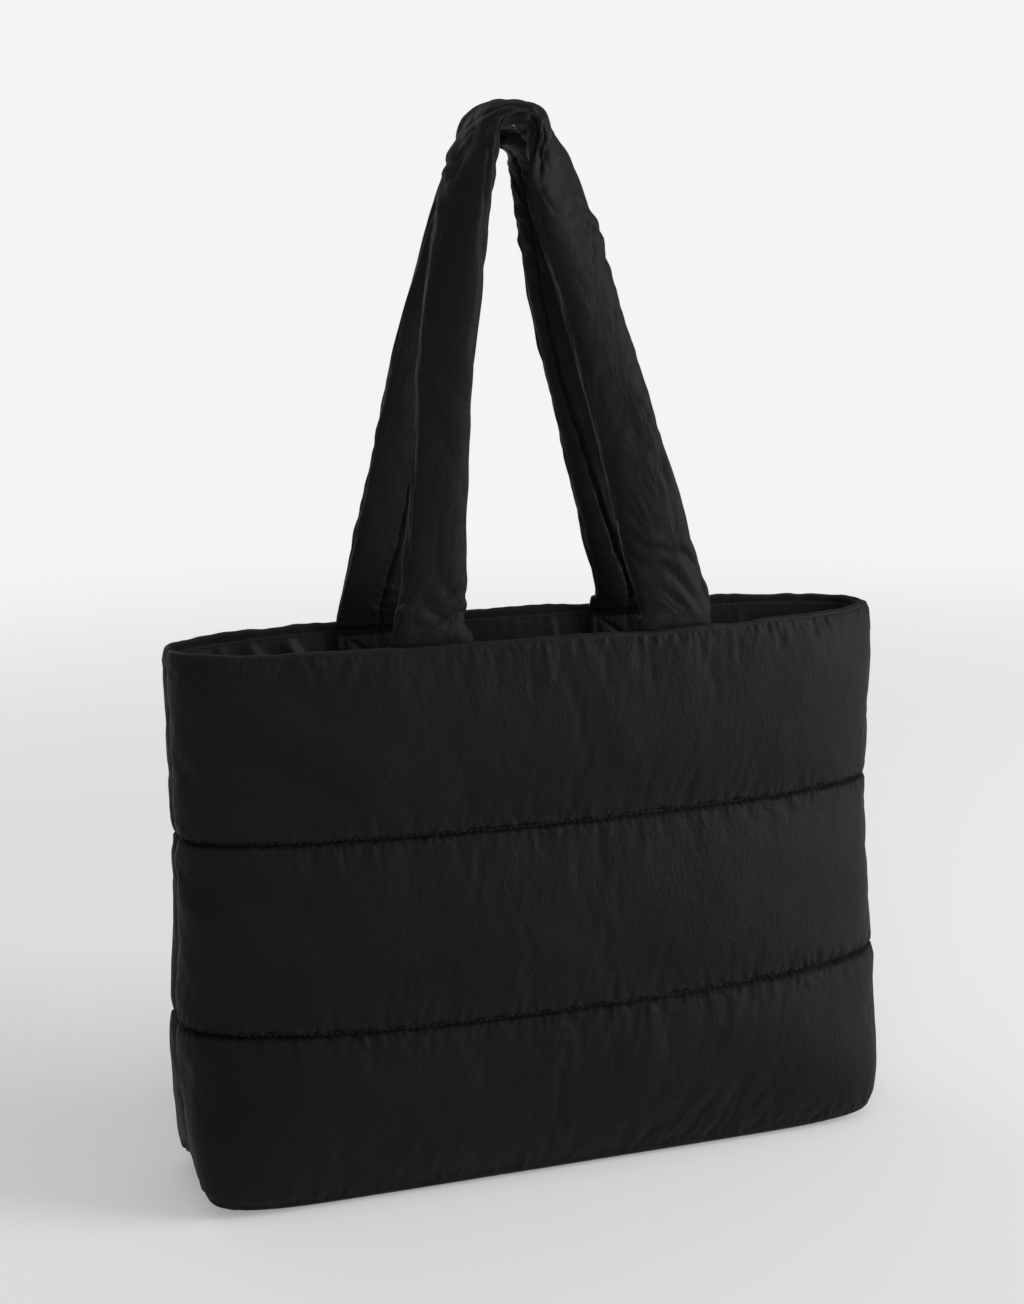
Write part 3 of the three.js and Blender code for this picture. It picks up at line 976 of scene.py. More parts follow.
    def _gathers(self) -> Array:
        """Height of the small folds that the sewn lines gather, at each place."""
        along = self.spots.walked
        total = np.zeros_like(self.heights)
        for number, line in enumerate(self.lines):
            for upward in (True, False):
                away, shown = self._beyond(line, upward)
                noise = Crumple(self.seed + 17 * number + (7 if upward else 0))
                lean = 0.35 * noise.at(along * 16, 0.5) + 0.20 * noise.at(along * 45, 4.5)
                place = along + lean * away + 0.0012 * noise.at(along * 60, away * 45)
                strength = 0.75 + 0.45 * noise.at(along * 11, 9.5)
                height = sum(pucker.at(noise, place, away) for pucker in self.puckers)
                height = height * strength * (1 - np.exp(-away / self.seam_calm))
                total += np.where(shown, height, 0)
        for number, zone in enumerate(self.zones):
            away, shown = self._beyond(self.lines[zone.line], zone.upward)
            noise = Crumple(self.seed + 301 + 13 * number)
            total += np.where(shown, self._zone_folds(zone, noise, away), 0)
        return total

    def _zone_folds(self, zone: GatherZone, noise: Crumple, away: Array) -> Array:
        """Height of the longer folds of one zone, at distances away from its line."""
        along = self.spots.walked
        start = along - zone.lean * away
        place = start + 0.0022 * noise.at(along * 30, away * 24)
        near = np.exp(-(((start - zone.middle) / zone.spread) ** 2))
        ridges = noise.creased(place * 82, away * 17 + 11)
        ridges = ridges + 0.6 * noise.creased(place * 160, away * 30)
        fade = np.exp(-((away / zone.reach) ** 2)) * (1 - np.exp(-away / 0.004))
        return zone.depth * ridges * near * fade

    def _loose_cloth(self) -> Array:
        """Height of the soft lumps, drag folds and fine vertical crinkles, at each place."""
        along, up = self.spots.walked, self.heights
        noise = Crumple(self.seed + 101)
        lumps = noise.at(along * 15, up * 21) + 0.5 * noise.at(along * 34 + 9, up * 30)
        fibres = noise.creased(along * 130 + 2.4 * noise.at(along * 26, up * 40), up * 52)
        veins = noise.creased(along * 62 + 2.2 * noise.at(along * 20, up * 26), up * 30 + 50)
        total = self.lumps * lumps + self.fibres * fibres + self.veins * veins
        for fold in self.folds:
            total = total + fold.at(along, up)
        return total * np.minimum(self.pillow * 1.15, 1)

    def _outer_face(self) -> Array:
        """Places of the outer face."""
        puff = self.start_puff
        push = self.half * np.cos(self.turn) + puff * self.pillow * self.swell
        calm_side = smooth_step(0.0, 0.02, self.spots.seam_distance)
        calm_rim = np.cos(self.turn) ** 2
        push = push + (self._gathers() + self._loose_cloth()) * (0.25 + 0.75 * calm_side) * calm_rim
        push = push - self.side_pinch * np.exp(-self.spots.seam_distance / self.side_pinch_reach)
        for line in self.lines[1:3]:
            push = push + self._shoulder(line) * self.swell
        places = self._drawn_in(push)
        return places + self._swelling()

    def _shoulder(self, line: int) -> Array:
        """Height of the padding's shoulder, which rises from a ragged edge beside a line."""
        noise = Crumple(self.seed + 501)
        offset = self.heights - self.heights[line]
        away, lane = np.abs(offset), line + 40.5 * (offset > 0)
        along = self.spots.walked + 0.25 * offset
        ragged = self.ragged_fine * noise.creased(along * 210, lane)
        ragged = ragged + self.ragged_broad * noise.at(along * 75, lane + 7)
        edge = away - ragged * smooth_step(0.0002, 0.0012, away)
        fade = np.exp(-away / self.shoulder_reach)
        return self.seam_shoulder * fade * smooth_step(0.0004, 0.0021, edge)

    def _inner_face(self) -> Array:
        """Places of the inner face, which the lining hides below the rim."""
        push = -self.half * np.cos(self.turn) - self.inner_puff * self.pillow * self.swell
        return self._drawn_in(push)

    def _drawn_in(self, push: Array) -> Array:
        """Places of a face, where the quilting lines draw the side seams in at their ends."""
        places = self.shape.beside(self.side, self.spots, push, self._wandering_heights())
        near_side = np.exp(-self.spots.seam_distance / self.end_reach)
        for line in self.lines[1:3]:
            near_line = np.exp(-(((self.heights - self.heights[line]) / self.end_height) ** 2))
            places[..., 0] -= np.sign(self.spots.x) * self.end_pinch * near_line * near_side
        return places

    def _wandering_heights(self) -> Array:
        """Heights with the sewn lines' small wander and the rim's soft waves."""
        noise = Crumple(self.seed + 211)
        along = self.spots.walked
        calm = smooth_step(0.0, 0.012, self.spots.seam_distance)
        total = self.heights + self.shape.rim_rounding * np.sin(self.turn)
        for line in self.lines[1:3]:
            offset = np.abs(self.heights - self.heights[line])
            wander = noise.at(along * 190, line) + noise.at(along * 55, line + 0.5)
            total = total + self.sewn_wander * wander * np.exp(-offset / 0.005) * calm
        below_rim = self.heights[self.lines[3]] - self.heights
        waves = noise.at(along * 34, 90.5) + 0.45 * noise.at(along * 110, 95.5)
        return total + self.rim_wander * waves * np.exp(-below_rim / 0.014) * calm

    def _wear(self) -> Array:
        """How worn the cloth is: along the rim, the side seams and the bottom edge."""
        rim = np.exp(-((self.heights[self.lines[3]] - self.heights) / self.rim_wear_reach))
        sides = self.edge_wear * np.exp(-self.spots.seam_distance / self.edge_wear_reach)
        foot = self.edge_wear * np.exp(-((self.heights - self.heights[0]) / self.edge_wear_reach))
        return np.clip(rim + sides + foot, 0, 1) * (0.5 + 0.5 * (np.sin(self.turn) > 0))

    def sewn_lines(self) -> list[SewnPath]:
        """The two quilting lines, as paths for the stitches."""
        paths, keep = [], slice(3, -3)
        for line in self.lines[1:3]:
            out_x, out_y = self.spots.out_x[line], self.side.value * self.spots.out_y[line]
            out = np.stack([out_x, out_y, np.zeros(len(self.shares))], axis=-1)
            points = self.outer[line] + out * self.stitch_lift
            paths.append(SewnPath(points[keep], out[keep]))
        return paths


@dataclass
class PaddedBase:
    """The padded bottom: flat underneath, thin at its sewn edge, curled up at the two ends."""

    shape: BodyShape
    thickness: float = 0.010
    edge_thickness: float = 0.0024
    columns: int = 240
    rows: int = 64
    crowding: float = 0.7
    tuck: float = 0.0004
    gathers: float = 0.0004
    seed: int = 733
    # reach, share of the edge's height above the floor, share of the full thickness
    rings: tuple[Row, ...] = (
        (0.0, 0.0, 1.0),
        (0.4, 0.0, 1.0),
        (0.72, 0.0, 1.0),
        (0.84, 0.1, 0.72),
        (0.93, 0.4, 0.15),
        (1.0, 1.0, 0.0),
    )

    def build(self, name: str, node: str, cloth: bpy.types.Material) -> bpy.types.Object:
        """Makes the base and dresses it.

        Args:
            name: the piece's name.
            node: the solid that it stands for.
            cloth: its material.

        Returns:
            The padded piece.
        """
        half_width, half_depth, power = (found[0] for found in self.shape.ovals(np.array([0.0])))
        wide, deep = (size + self.shape.seam_thickness / 2 for size in (half_width, half_depth))
        across, back = np.meshgrid(self._crowded(self.columns), self._crowded(self.rows))
        reach = np.maximum(np.abs(across), np.abs(back))
        oval = (np.abs(across) ** power + np.abs(back) ** power) ** (1 / power)
        shrink = reach / np.maximum(oval, 1e-9)
        x, y = across * shrink * wide, back * shrink * deep
        ring = rows_at(self.rings, reach)
        curl, body = ring[..., 1], ring[..., 2]
        aside = np.clip(np.abs(back * shrink / np.maximum(reach, 1e-9)), 0, 1)
        lift = self.shape.corner_lift * (1 - aside**self.shape.end_power)
        edge = self.shape.bottom_seam + lift - self.edge_thickness + self.tuck
        noise = Crumple(self.seed)
        gathers = noise.creased(x * 110, y * 40) * self.gathers * smooth_step(0.6, 0.9, reach)
        under = edge * curl + np.maximum(gathers, 0) * curl
        top = under + blend(self.edge_thickness, self.thickness, body)
        faces = [np.stack([x, y, z], axis=-1) for z in (top, under)]
        worn = smooth_step(0.9, 1.0, reach)
        piece = draped(name, faces, cloth, worn)
        return settle_in(piece, "shell", node)

    def _crowded(self, cells: int) -> Array:
        """Places from -1 to 1 that crowd towards both ends."""
        even = np.linspace(0, 1, cells + 1)
        return 2 * (even - self.crowding * np.sin(2 * math.pi * even) / (2 * math.pi)) - 1


@dataclass
class HangingLining:
    """The smooth cloth bag inside: it is sewn under the rim and hangs to the base."""

    shape: BodyShape
    seed: int
    inner_puff: float = 0.005
    slack: float = 0.0007
    gap: float = 0.0003
    thickness: float = 0.0012
    looseness: float = 0.0022
    gathers: float = 0.0006
    rim_tuck: float = 0.0024
    floor_waves: float = 0.0012
    stitches_below_rim: float = 0.0042
    stitch_lift: float = 0.0002
    lowest: float = 0.07
    fullest: float = 0.5
    floor: float = 0.011
    spine: float = 0.78
    columns: int = 330
    wall_rows: int = 120
    floor_rows: int = 26
    back_folds: Sequence[Fold] = ()

    def build(self, name: str, node: str, cloth: bpy.types.Material) -> bpy.types.Object:
        """Makes the lining and dresses it.

        Args:
            name: the piece's name.
            node: the solid that it stands for.
            cloth: its material.

        Returns:
            The sheet.
        """
        self.shares = np.linspace(0, 1, self.columns + 1)
        lower = self.shape.channels[0].high * self.lowest
        even = np.linspace(0, 1, self.wall_rows + 1)
        self.levels = blend(lower, 1.0, even + 0.55 * np.sin(math.pi * even) / math.pi * even)
        self.levels = np.minimum(self.levels, 1.0)
        self.levels[-1] = 1.0
        halves = {side: self._wall(side) for side in Side}
        front, back = halves[Side.FRONT], halves[Side.BACK]
        walls = np.concatenate([front[:, :-1], back[:, ::-1]], axis=1)
        places = np.concatenate([self._floor(walls[0]), walls], axis=0)
        self.places, self.first_wall = places, self.floor_rows
        worn = np.zeros(places.shape[:2])
        piece = draped(name, [places], cloth, worn, weld=2e-5)
        solid = piece.modifiers.new("cloth thickness", "SOLIDIFY")
        solid.thickness = self.thickness
        solid.offset = -1.0
        return settle_in(piece, "lining", node)

    def inset(self, levels: Array, spots: Spots) -> Array:
        """Inset of the lining from the middle of the wall.

        Args:
            levels: shares of the wall's height.
            spots: the places of the wall's middle at those levels.

        Returns:
            The inset in metres, levels by columns.
        """
        channels = self.shape.channels
        top = channels[-1]
        share = np.clip((levels - top.low) / (top.high - top.low), 0, 1)[:, None]
        half = self.shape.half_thickness(share)
        pillow = np.where(share < self.fullest, 1.0, np.sin(math.pi * np.clip(share, 0, 1)) ** 0.6)
        marks = [channel.low for channel in channels] + [1.0]
        puffs = [channel.side_puff for channel in channels] + [top.side_puff]
        swell = self.shape.swelling(np.interp(levels, marks, puffs)[:, None], spots.seam_distance)
        slack = self.slack * smooth_step(self.fullest + 0.1, self.fullest - 0.1, share)
        return half + self.inner_puff * pillow * swell + self.gap + slack

    def _wall(self, side: Side) -> Array:
        """Places of the lining on one long side, from the base up to the rim."""
        spots = self.shape.walk(self.levels, self.shares)
        heights = self.shape.heights(self.levels, self.shares)
        noise = Crumple(self.seed + side.value)
        along, below = spots.walked, self.shape.wall_top - heights
        sag = noise.at(along * 26 + 0.8 * noise.at(along * 9, below * 11), below * 6)
        sag = sag + 0.6 * noise.creased(along * 55 + noise.at(along * 14, below * 17), below * 12)
        loose = self.looseness * np.maximum(sag + 0.15, 0) * smooth_step(0.004, 0.09, below)
        gather = noise.creased(along * 120, below * 26 + 8) * self.gathers * np.exp(-below / 0.02)
        loose = loose + np.maximum(gather, 0) * smooth_step(0.001, 0.006, below)
        if side is Side.BACK:
            for fold in self.back_folds:
                loose = loose + fold.at(along, below)
        calm = smooth_step(0.0, 0.03, spots.seam_distance)
        tucked = self.rim_tuck * np.exp(-below / 0.0016)
        push = -self.inset(self.levels, spots) - np.maximum(loose, 0) * calm + tucked
        return self.shape.beside(side, spots, push, heights)

    def _floor(self, lowest: Array) -> Array:
        """Places of the lining on the base, from its middle seam out to the walls' foot."""
        reach = np.linspace(0, 1, self.floor_rows + 1)[:-1][:, None]
        x = lowest[:, 0] * blend(self.spine, 1.0, reach)
        y = lowest[:, 1] * reach
        rise = smooth_step(0.86, 1.06, reach)
        z = blend(self.floor + 0 * x, lowest[:, 2] + 0 * x, rise)
        noise = Crumple(self.seed + 5)
        z = z + self.floor_waves * np.maximum(noise.at(x * 22, np.abs(y) * 40), 0) * (1 - rise)
        return np.stack([x, y, z], axis=-1)

    def rim_line(self) -> list[SewnPath]:
        """The line of stitches that holds the lining under the rim."""
        heights = self.places[self.first_wall:, 0, 2]
        wanted = self.shape.wall_top - self.stitches_below_rim
        row = self.first_wall + int(np.argmin(np.abs(heights - wanted)))
        points = self.places[row]
        ahead = np.roll(points, -1, axis=0) - np.roll(points, 1, axis=0)
        inward = np.stack([-ahead[:, 1], ahead[:, 0], np.zeros(len(points))], axis=-1)
        inward /= np.linalg.norm(inward, axis=1, keepdims=True)
        surface = points + inward * (self.thickness + self.stitch_lift)
        return [SewnPath(surface[4:-4], inward[4:-4])]


# The handles


@dataclass(frozen=True)
class HandleSeat:
    """Where handles are sewn: the lining's inner face, as a depth from the middle plane."""

    shape: BodyShape
    lining: HangingLining
    gap: float = 0.0003

    def depth(self, x: Array, z: Array) -> Array:
        """Depth of the lining's inner face.

        Args:
            x: places across the bag.
            z: heights of those places.

        Returns:
            How far each is from the bag's middle plane.
        """
        shape = self.shape
        level = np.clip((z - shape.bottom_seam) / (shape.wall_top - shape.bottom_seam), 0, 1)
        found = rows_at(shape.sections, level)
        wide, deep = found[..., 1] * shape.rim_width / 2, found[..., 2] * shape.rim_depth / 2
        power = found[..., 3]
        wall = deep * (1 - np.abs(x / wide) ** power) ** (1 / power)
        top = shape.channels[-1]
        share = np.clip((level - top.low) / (top.high - top.low), 0, 1)
        half = shape.half_thickness(share)
        pillow = np.where(share < self.lining.fullest, 1.0, np.sin(math.pi * share) ** 0.6)
        slack = np.where(share < self.lining.fullest, self.lining.slack, 0.0)
        reach = half + self.lining.inner_puff * pillow + slack
        return wall - reach - self.gap - self.lining.thickness


@dataclass(frozen=True)
class Crush:
    """A stretch of a handle where the padding is crushed into cross folds.

    Place and spread are metres along the handle, across is the share of the turn round the
    handle where the folds are deepest, lean is how far they slant, and depth is their height.
    """

    place: float
    spread: float
    across: float
    lean: float
    depth: float


@dataclass
class TubeHandle:
    """A padded tube: sewn lengthwise on its inner face, its flattened ends stitched inside."""

    shape: BodyShape
    seat: HandleSeat
    side: Side
    path: Sequence[Row]
    seed: int
    crushes: Sequence[Crush] = ()
    spacing: float = 0.160
    rise: float = 0.306
    width: float = 0.044
    thickness: float = 0.018
    end_length: float = 0.040
    end_width: float = 0.050
    end_thickness: float = 0.006
    rim_clearance: float = 0.004
    squareness: float = 2.4
    seam_depth: float = 0.0034
    # share of the handle's length, and how far its seam lies aside of the middle there
    seam_drift: tuple[Row, ...] = ((0.0, 0.0), (1.0, 0.0))
    around: int = 144
    steps: int = 560
    frame_steps: int = 46
    end_crowding: float = 0.35
    cap_reach: float = 0.0022
    box_margin: float = 0.0045
    box_top: float = 0.006
    box_dent: float = 0.0011
    box_pillow: float = 0.0005
    groove_width: float = 0.0010
    overlap: float = 0.0007
    ladder: float = 0.0018
    drag: float = 0.0009
    slant: float = 0.00085
    crinkle: float = 0.00018
    stitch_lift: float = 0.0001

    def build(self, name: str, node: str, cloth: bpy.types.Material) -> bpy.types.Object:
        """Makes the handle and dresses it.

        Args:
            name: the piece's name.
            node: the solid that it stands for.
            cloth: its material.

        Returns:
            The padded piece.
        """
        self.stations = self._station_rows()
        places, worn = self._tube()
        self.places = places
        piece = draped(name, [places], cloth, worn, weld=2e-5)
        return settle_in(piece, "handle", node)

    def _station_rows(self) -> list[Row]:
        """The handle's stations from one sewn end to the other.

        Returns:
            Rows of the place in order, x, y, z, turn, half width, half thickness, and 1 where the
            handle is seated on the lining. Lengths are in metres.
        """
        flat = self.end_thickness / 2
        # metres below the rim, and half the thickness there
        ends = [
            (self.end_length, flat),
            (self.end_length / 2, flat),
            (self.box_top, flat),
            (0.0, 0.48 * self.thickness / 2),
            (-self.rim_clearance, 0.68 * self.thickness / 2),
        ]
        broad_end = self.end_width / 2
        rows: list[Row] = []
        for below, half in ends:
            rows.append(self._row(self.path[0][0], -below, 0.0, 0.0, broad_end, half, 1.0))
        for across, rise, lean, turn, broad, thick in self.path:
            halves = (broad * self.width / 2, thick * self.thickness / 2)
            rows.append(self._row(across, rise * self.rise, lean, turn, *halves, 0.0))
        for below, half in reversed(ends):
            rows.append(self._row(self.path[-1][0], -below, 0.0, 0.0, broad_end, half, 1.0))
        return [(float(place), *row) for place, row in enumerate(rows)]

    def _row(
        self,
        across: float,
        risen: float,
        lean: float,
        turn: float,
        broad: float,
        thick: float,
        seated: float,
    ) -> Row:
        """One station, from its place across, its height over the rim and its lean inwards."""
        x = across * self.spacing / 2
        z = (self.shape.wall_top if seated else self.shape.rim_height) + risen
        wall = float(self.seat.depth(np.array(x), np.array(min(z, self.shape.wall_top))))
        y = blend(wall - self.seat.gap - thick, (self.width + self.seat.gap) / 2, lean)
        return (x, y, z, turn, broad, thick, seated)

    def _tube(self) -> tuple[Array, Array]:
        """Places of the tube's face, along by around, and how worn each is."""
        at = self._crowd_ends(np.linspace(0, 1, self.steps + 1))
        here = rows_at(self.stations, at * (len(self.stations) - 1))[:, 1:]
        half_broad, half_thick = here[:, 4:5], here[:, 5:6]
        seated = np.clip(here[:, 6:7], 0, 1)
        centre, across, facing = self._frames(at, here)
        steps = np.linalg.norm(np.diff(centre, axis=0), axis=1)
        self.along = np.concatenate([[0.0], np.cumsum(steps)])

        round_turn = 2 * math.pi * np.arange(self.around + 1) / self.around
        cosine, sine = np.cos(round_turn)[None, :], np.sin(round_turn)[None, :]
        cosine[:, -1], sine[:, -1] = 1.0, 0.0
        sine[:, self.around // 2] = 0.0
        broad = half_broad * signed_power(cosine, 2 / self.squareness)
        thick = half_thick * signed_power(sine, 2 / self.squareness)
        out_broad = signed_power(broad / half_broad, self.squareness - 1) / half_broad
        out_thick = signed_power(thick / half_thick, self.squareness - 1) / half_thick
        steep = np.hypot(out_broad, out_thick)
        out_broad, out_thick = out_broad / steep, out_thick / steep

        def spread(broad: Array, thick: Array) -> Array:
            """Places from how far they are along the broad and the thick direction."""
            aside = across[:, None] * broad[..., None]
            return centre[:, None] + aside + facing[:, None] * thick[..., None]

        push = self._folds(self.along[:, None], broad, out_thick, seated, half_thick)
        push = push * blend(self._calm_in_bends(spread(broad, thick), centre), 1.0, seated)
        cap = self._cap(self.along)
        broad = (broad + out_broad * push) * (1 - 0.25 * cap**2)
        thick = (thick + out_thick * push) * np.sqrt(np.clip(1 - cap**2, 0, 1))
        places = spread(broad, thick)
        wall = self.seat.depth(places[..., 0], np.minimum(places[..., 2], self.shape.wall_top))
        laid = self.side.value * (wall - self.seat.gap - half_thick + thick)
        places[..., 1] = blend(places[..., 1], laid, seated)
        worn = 0.5 * np.exp(-((sine / 0.35) ** 2)) * np.ones_like(broad) + 0.2
        return places, worn

    def _frames(self, at: Array, here: Array) -> tuple[Array, Array, Array]:
        """The tube's middle line and the directions of its section.

        Args:
            at: shares of the way from the first station to the last.
            here: the stations' values at those shares.

        Returns:
            The middle, the broad direction and the thick direction at each share.
        """
        last, frame = len(self.stations) - 1, 1 / self.frame_steps
        before = rows_at(self.stations, np.maximum(at - frame, 0) * last)[:, 1:]
        after = rows_at(self.stations, np.minimum(at + frame, 1) * last)[:, 1:]
        centre, ahead = here[:, :3].copy(), after[:, :3] - before[:, :3]
        centre[:, 1] *= self.side.value
        ahead[:, 1] *= self.side.value
        ahead /= np.linalg.norm(ahead, axis=1, keepdims=True)
        out_of_loop = np.stack([-ahead[:, 2], 0 * ahead[:, 0], ahead[:, 0]], axis=-1)
        out_of_loop /= np.linalg.norm(out_of_loop, axis=1, keepdims=True)
        turn = np.radians(here[:, 3:4])
        straight_out = np.array([0.0, self.side.value, 0.0])
        facing = straight_out * np.cos(turn) + out_of_loop * np.sin(turn)
        facing -= ahead * np.sum(facing * ahead, axis=1, keepdims=True)
        facing /= np.linalg.norm(facing, axis=1, keepdims=True)
        return centre, np.cross(ahead, facing), facing

    def _calm_in_bends(self, places: Array, centre: Array) -> Array:
        """Share of the folds that stays where a bend squeezes the smooth tube together."""
        length = np.linalg.norm(np.gradient(places, axis=0), axis=-1)
        middle = np.linalg.norm(np.gradient(centre, axis=0), axis=-1)[:, None]
        return smooth_step(0.25, 0.85, length / np.maximum(middle, 1e-9))

    def _crowd_ends(self, even: Array) -> Array:
        """Places along the handle that crowd towards its two sewn ends."""
        return even - self.end_crowding * np.sin(2 * math.pi * even) / (2 * math.pi)

    def _cap(self, along: Array) -> Array:
        """1 at the two cut ends, falling to 0 a little way in."""
        near = np.minimum(along, along[-1] - along)[:, None]
        return np.clip(1 - near / self.cap_reach, 0, 1)

    def _folds(
        self, along: Array, across: Array, facing: Array, seated: Array, half_thick: Array
    ) -> Array:
        """Height of the seam, the puckers beside it, the crushed folds and the box of stitches.

        Args:
            along: metres along the handle.
            across: metres across its broad side.
            facing: 1 on its outer face and -1 on its inner one.
            seated: 1 where it is seated on the lining.
            half_thick: half its thickness.

        Returns:
            The height of each place over the smooth tube.
        """
        noise = Crumple(self.seed)
        inner = np.clip(-facing * 1.6, 0, 1)
        free = 1 - seated
        aside = across - rows_at(self.seam_drift, (along / along[-1])[:, 0])[:, 1:]
        aside = aside + 0.0006 * noise.at(along * 90, 0.5)
        off_seam = np.abs(aside)
        groove = -self.seam_depth * np.exp(-((aside / self.groove_width) ** 2))
        step = self.overlap * np.tanh(aside / 0.0008) * np.exp(-off_seam / 0.0035)
        rungs = noise.creased(along * 125 + 0.4 * noise.at(along * 20, across * 60), across * 30)
        rungs = self.ladder * rungs * np.exp(-off_seam / 0.0055)
        rungs = rungs * (1 - np.exp(-off_seam / self.groove_width))
        total = (groove + step + rungs) * inner * (0.25 + 0.75 * free)
        round_place = across * 30 + 2.5 * facing
        drag = noise.at(along * 18 + 0.9 * facing, round_place * 0.9 + 40)
        wander = 1.2 * noise.at(along * 9, 8.5)
        slant = noise.creased(along * 34 + across * 26 + wander, across * 34 + facing)
        crinkle = noise.creased(along * 38, across * 130 + 3 * facing + noise.at(along * 12, 3.5))
        total += (self.drag * drag + self.slant * slant + self.crinkle * crinkle) * free
        for number, crush in enumerate(self.crushes):
            bend = Crumple(self.seed + 31 * number + 5)
            away = along - crush.place - crush.lean * across
            near = np.exp(-((away / crush.spread) ** 2))
            sided = np.exp(-(((facing - crush.across) / 0.9) ** 2))
            wander = bend.at(along * 25, across * 50)
            ridges = bend.creased(away * 62 + wander, across * 24 + facing)
            total += crush.depth * ridges * near * sided * free
        return total + self._box_dents(along, across, seated, half_thick)

    def _box_dents(self, along: Array, across: Array, seated: Array, half_thick: Array) -> Array:
        """Depth to which the box and its cross of stitches pull a sewn end."""
        end = np.minimum(along, along[-1] - along)
        dent = np.zeros(np.broadcast(along, across).shape)
        for start, stop in self._box_lines():
            (x0, y0), (x1, y1) = start, stop
            run = math.hypot(x1 - x0, y1 - y0)
            share = np.clip(((across - x0) * (x1 - x0) + (end - y0) * (y1 - y0)) / run**2, 0, 1)
            off = np.hypot(across - x0 - share * (x1 - x0), end - y0 - share * (y1 - y0))
            dent = np.maximum(dent, np.exp(-((off / 0.0016) ** 2)))
        pillow = self.box_pillow * Crumple(self.seed + 77).at(end * 90, across * 90)
        thick_enough = np.clip(half_thick / (self.end_thickness / 2), 0, 1)
        return (pillow - self.box_dent * dent) * (seated > 0.5) * thick_enough

    def _box_lines(self) -> list[tuple[tuple[float, float], tuple[float, float]]]:
        """The four sides and the cross of the box, as across and up from the cut end."""
        wide = self.end_width / 2 - self.box_margin
        low, high = self.box_margin, self.end_length - self.box_top
        corners = [(-wide, low), (wide, low), (wide, high), (-wide, high)]
        sides = [(corners[n], corners[(n + 1) % 4]) for n in range(4)]
        return sides + [(corners[0], corners[2]), (corners[1], corners[3])]

    def box_stitches(self, count: int = 40) -> list[SewnPath]:
        """The stitches of the boxes on both sewn ends, on the face towards the inside."""
        paths, half = [], self.end_width / 2
        for closing in (False, True):
            for (x0, y0), (x1, y1) in self._box_lines():
                share = np.linspace(0, 1, count)
                across, end = blend(x0, x1, share), blend(y0, y1, share)
                along = self.along[-1] - end if closing else end
                row = np.interp(along, self.along, np.arange(len(self.along)))
                cosine = signed_power(np.clip(across / half, -1, 1), self.squareness / 2)
                column = (2 * math.pi - np.arccos(cosine)) / (2 * math.pi) * self.around
                points = self._between(row, column)
                out = np.tile([0.0, -float(self.side.value), 0.0], (count, 1))
                paths.append(SewnPath(points + out * self.stitch_lift, out))
        return paths

    def _between(self, row: Array, column: Array) -> Array:
        """Points between the places of the tube's grid."""
        places = self.places
        low_row = np.clip(np.floor(row).astype(int), 0, places.shape[0] - 2)
        low_column = np.clip(np.floor(column).astype(int), 0, places.shape[1] - 2)
        up, over = (row - low_row)[:, None], (column - low_column)[:, None]
        near = blend(places[low_row, low_column], places[low_row, low_column + 1], over)
        far = blend(places[low_row + 1, low_column], places[low_row + 1, low_column + 1], over)
        return blend(near, far, up)


# The studio


@dataclass(frozen=True)
class Softbox:
    """One soft lamp: its place, width and height in metres, and its power in watts."""

    name: str
    place: tuple[float, float, float]
    wide: float
    tall: float
    power: float
    colour: tuple[float, float, float] = (1.0, 0.99, 0.98)

    def hang(self, target: Vector) -> None:
        """Hangs the lamp, aimed at the target."""
        data = bpy.data.lights.new(self.name, "AREA")
        data.shape, data.size, data.size_y = "RECTANGLE", self.wide, self.tall
        data.energy, data.color = self.power, self.colour
        lamp = bpy.data.objects.new(self.name, data)
        lamp.location = self.place
        lamp.rotation_mode = "QUATERNION"
        lamp.rotation_quaternion = (target - Vector(self.place)).to_track_quat("-Z", "Y")
        bpy.context.scene.collection.objects.link(lamp)


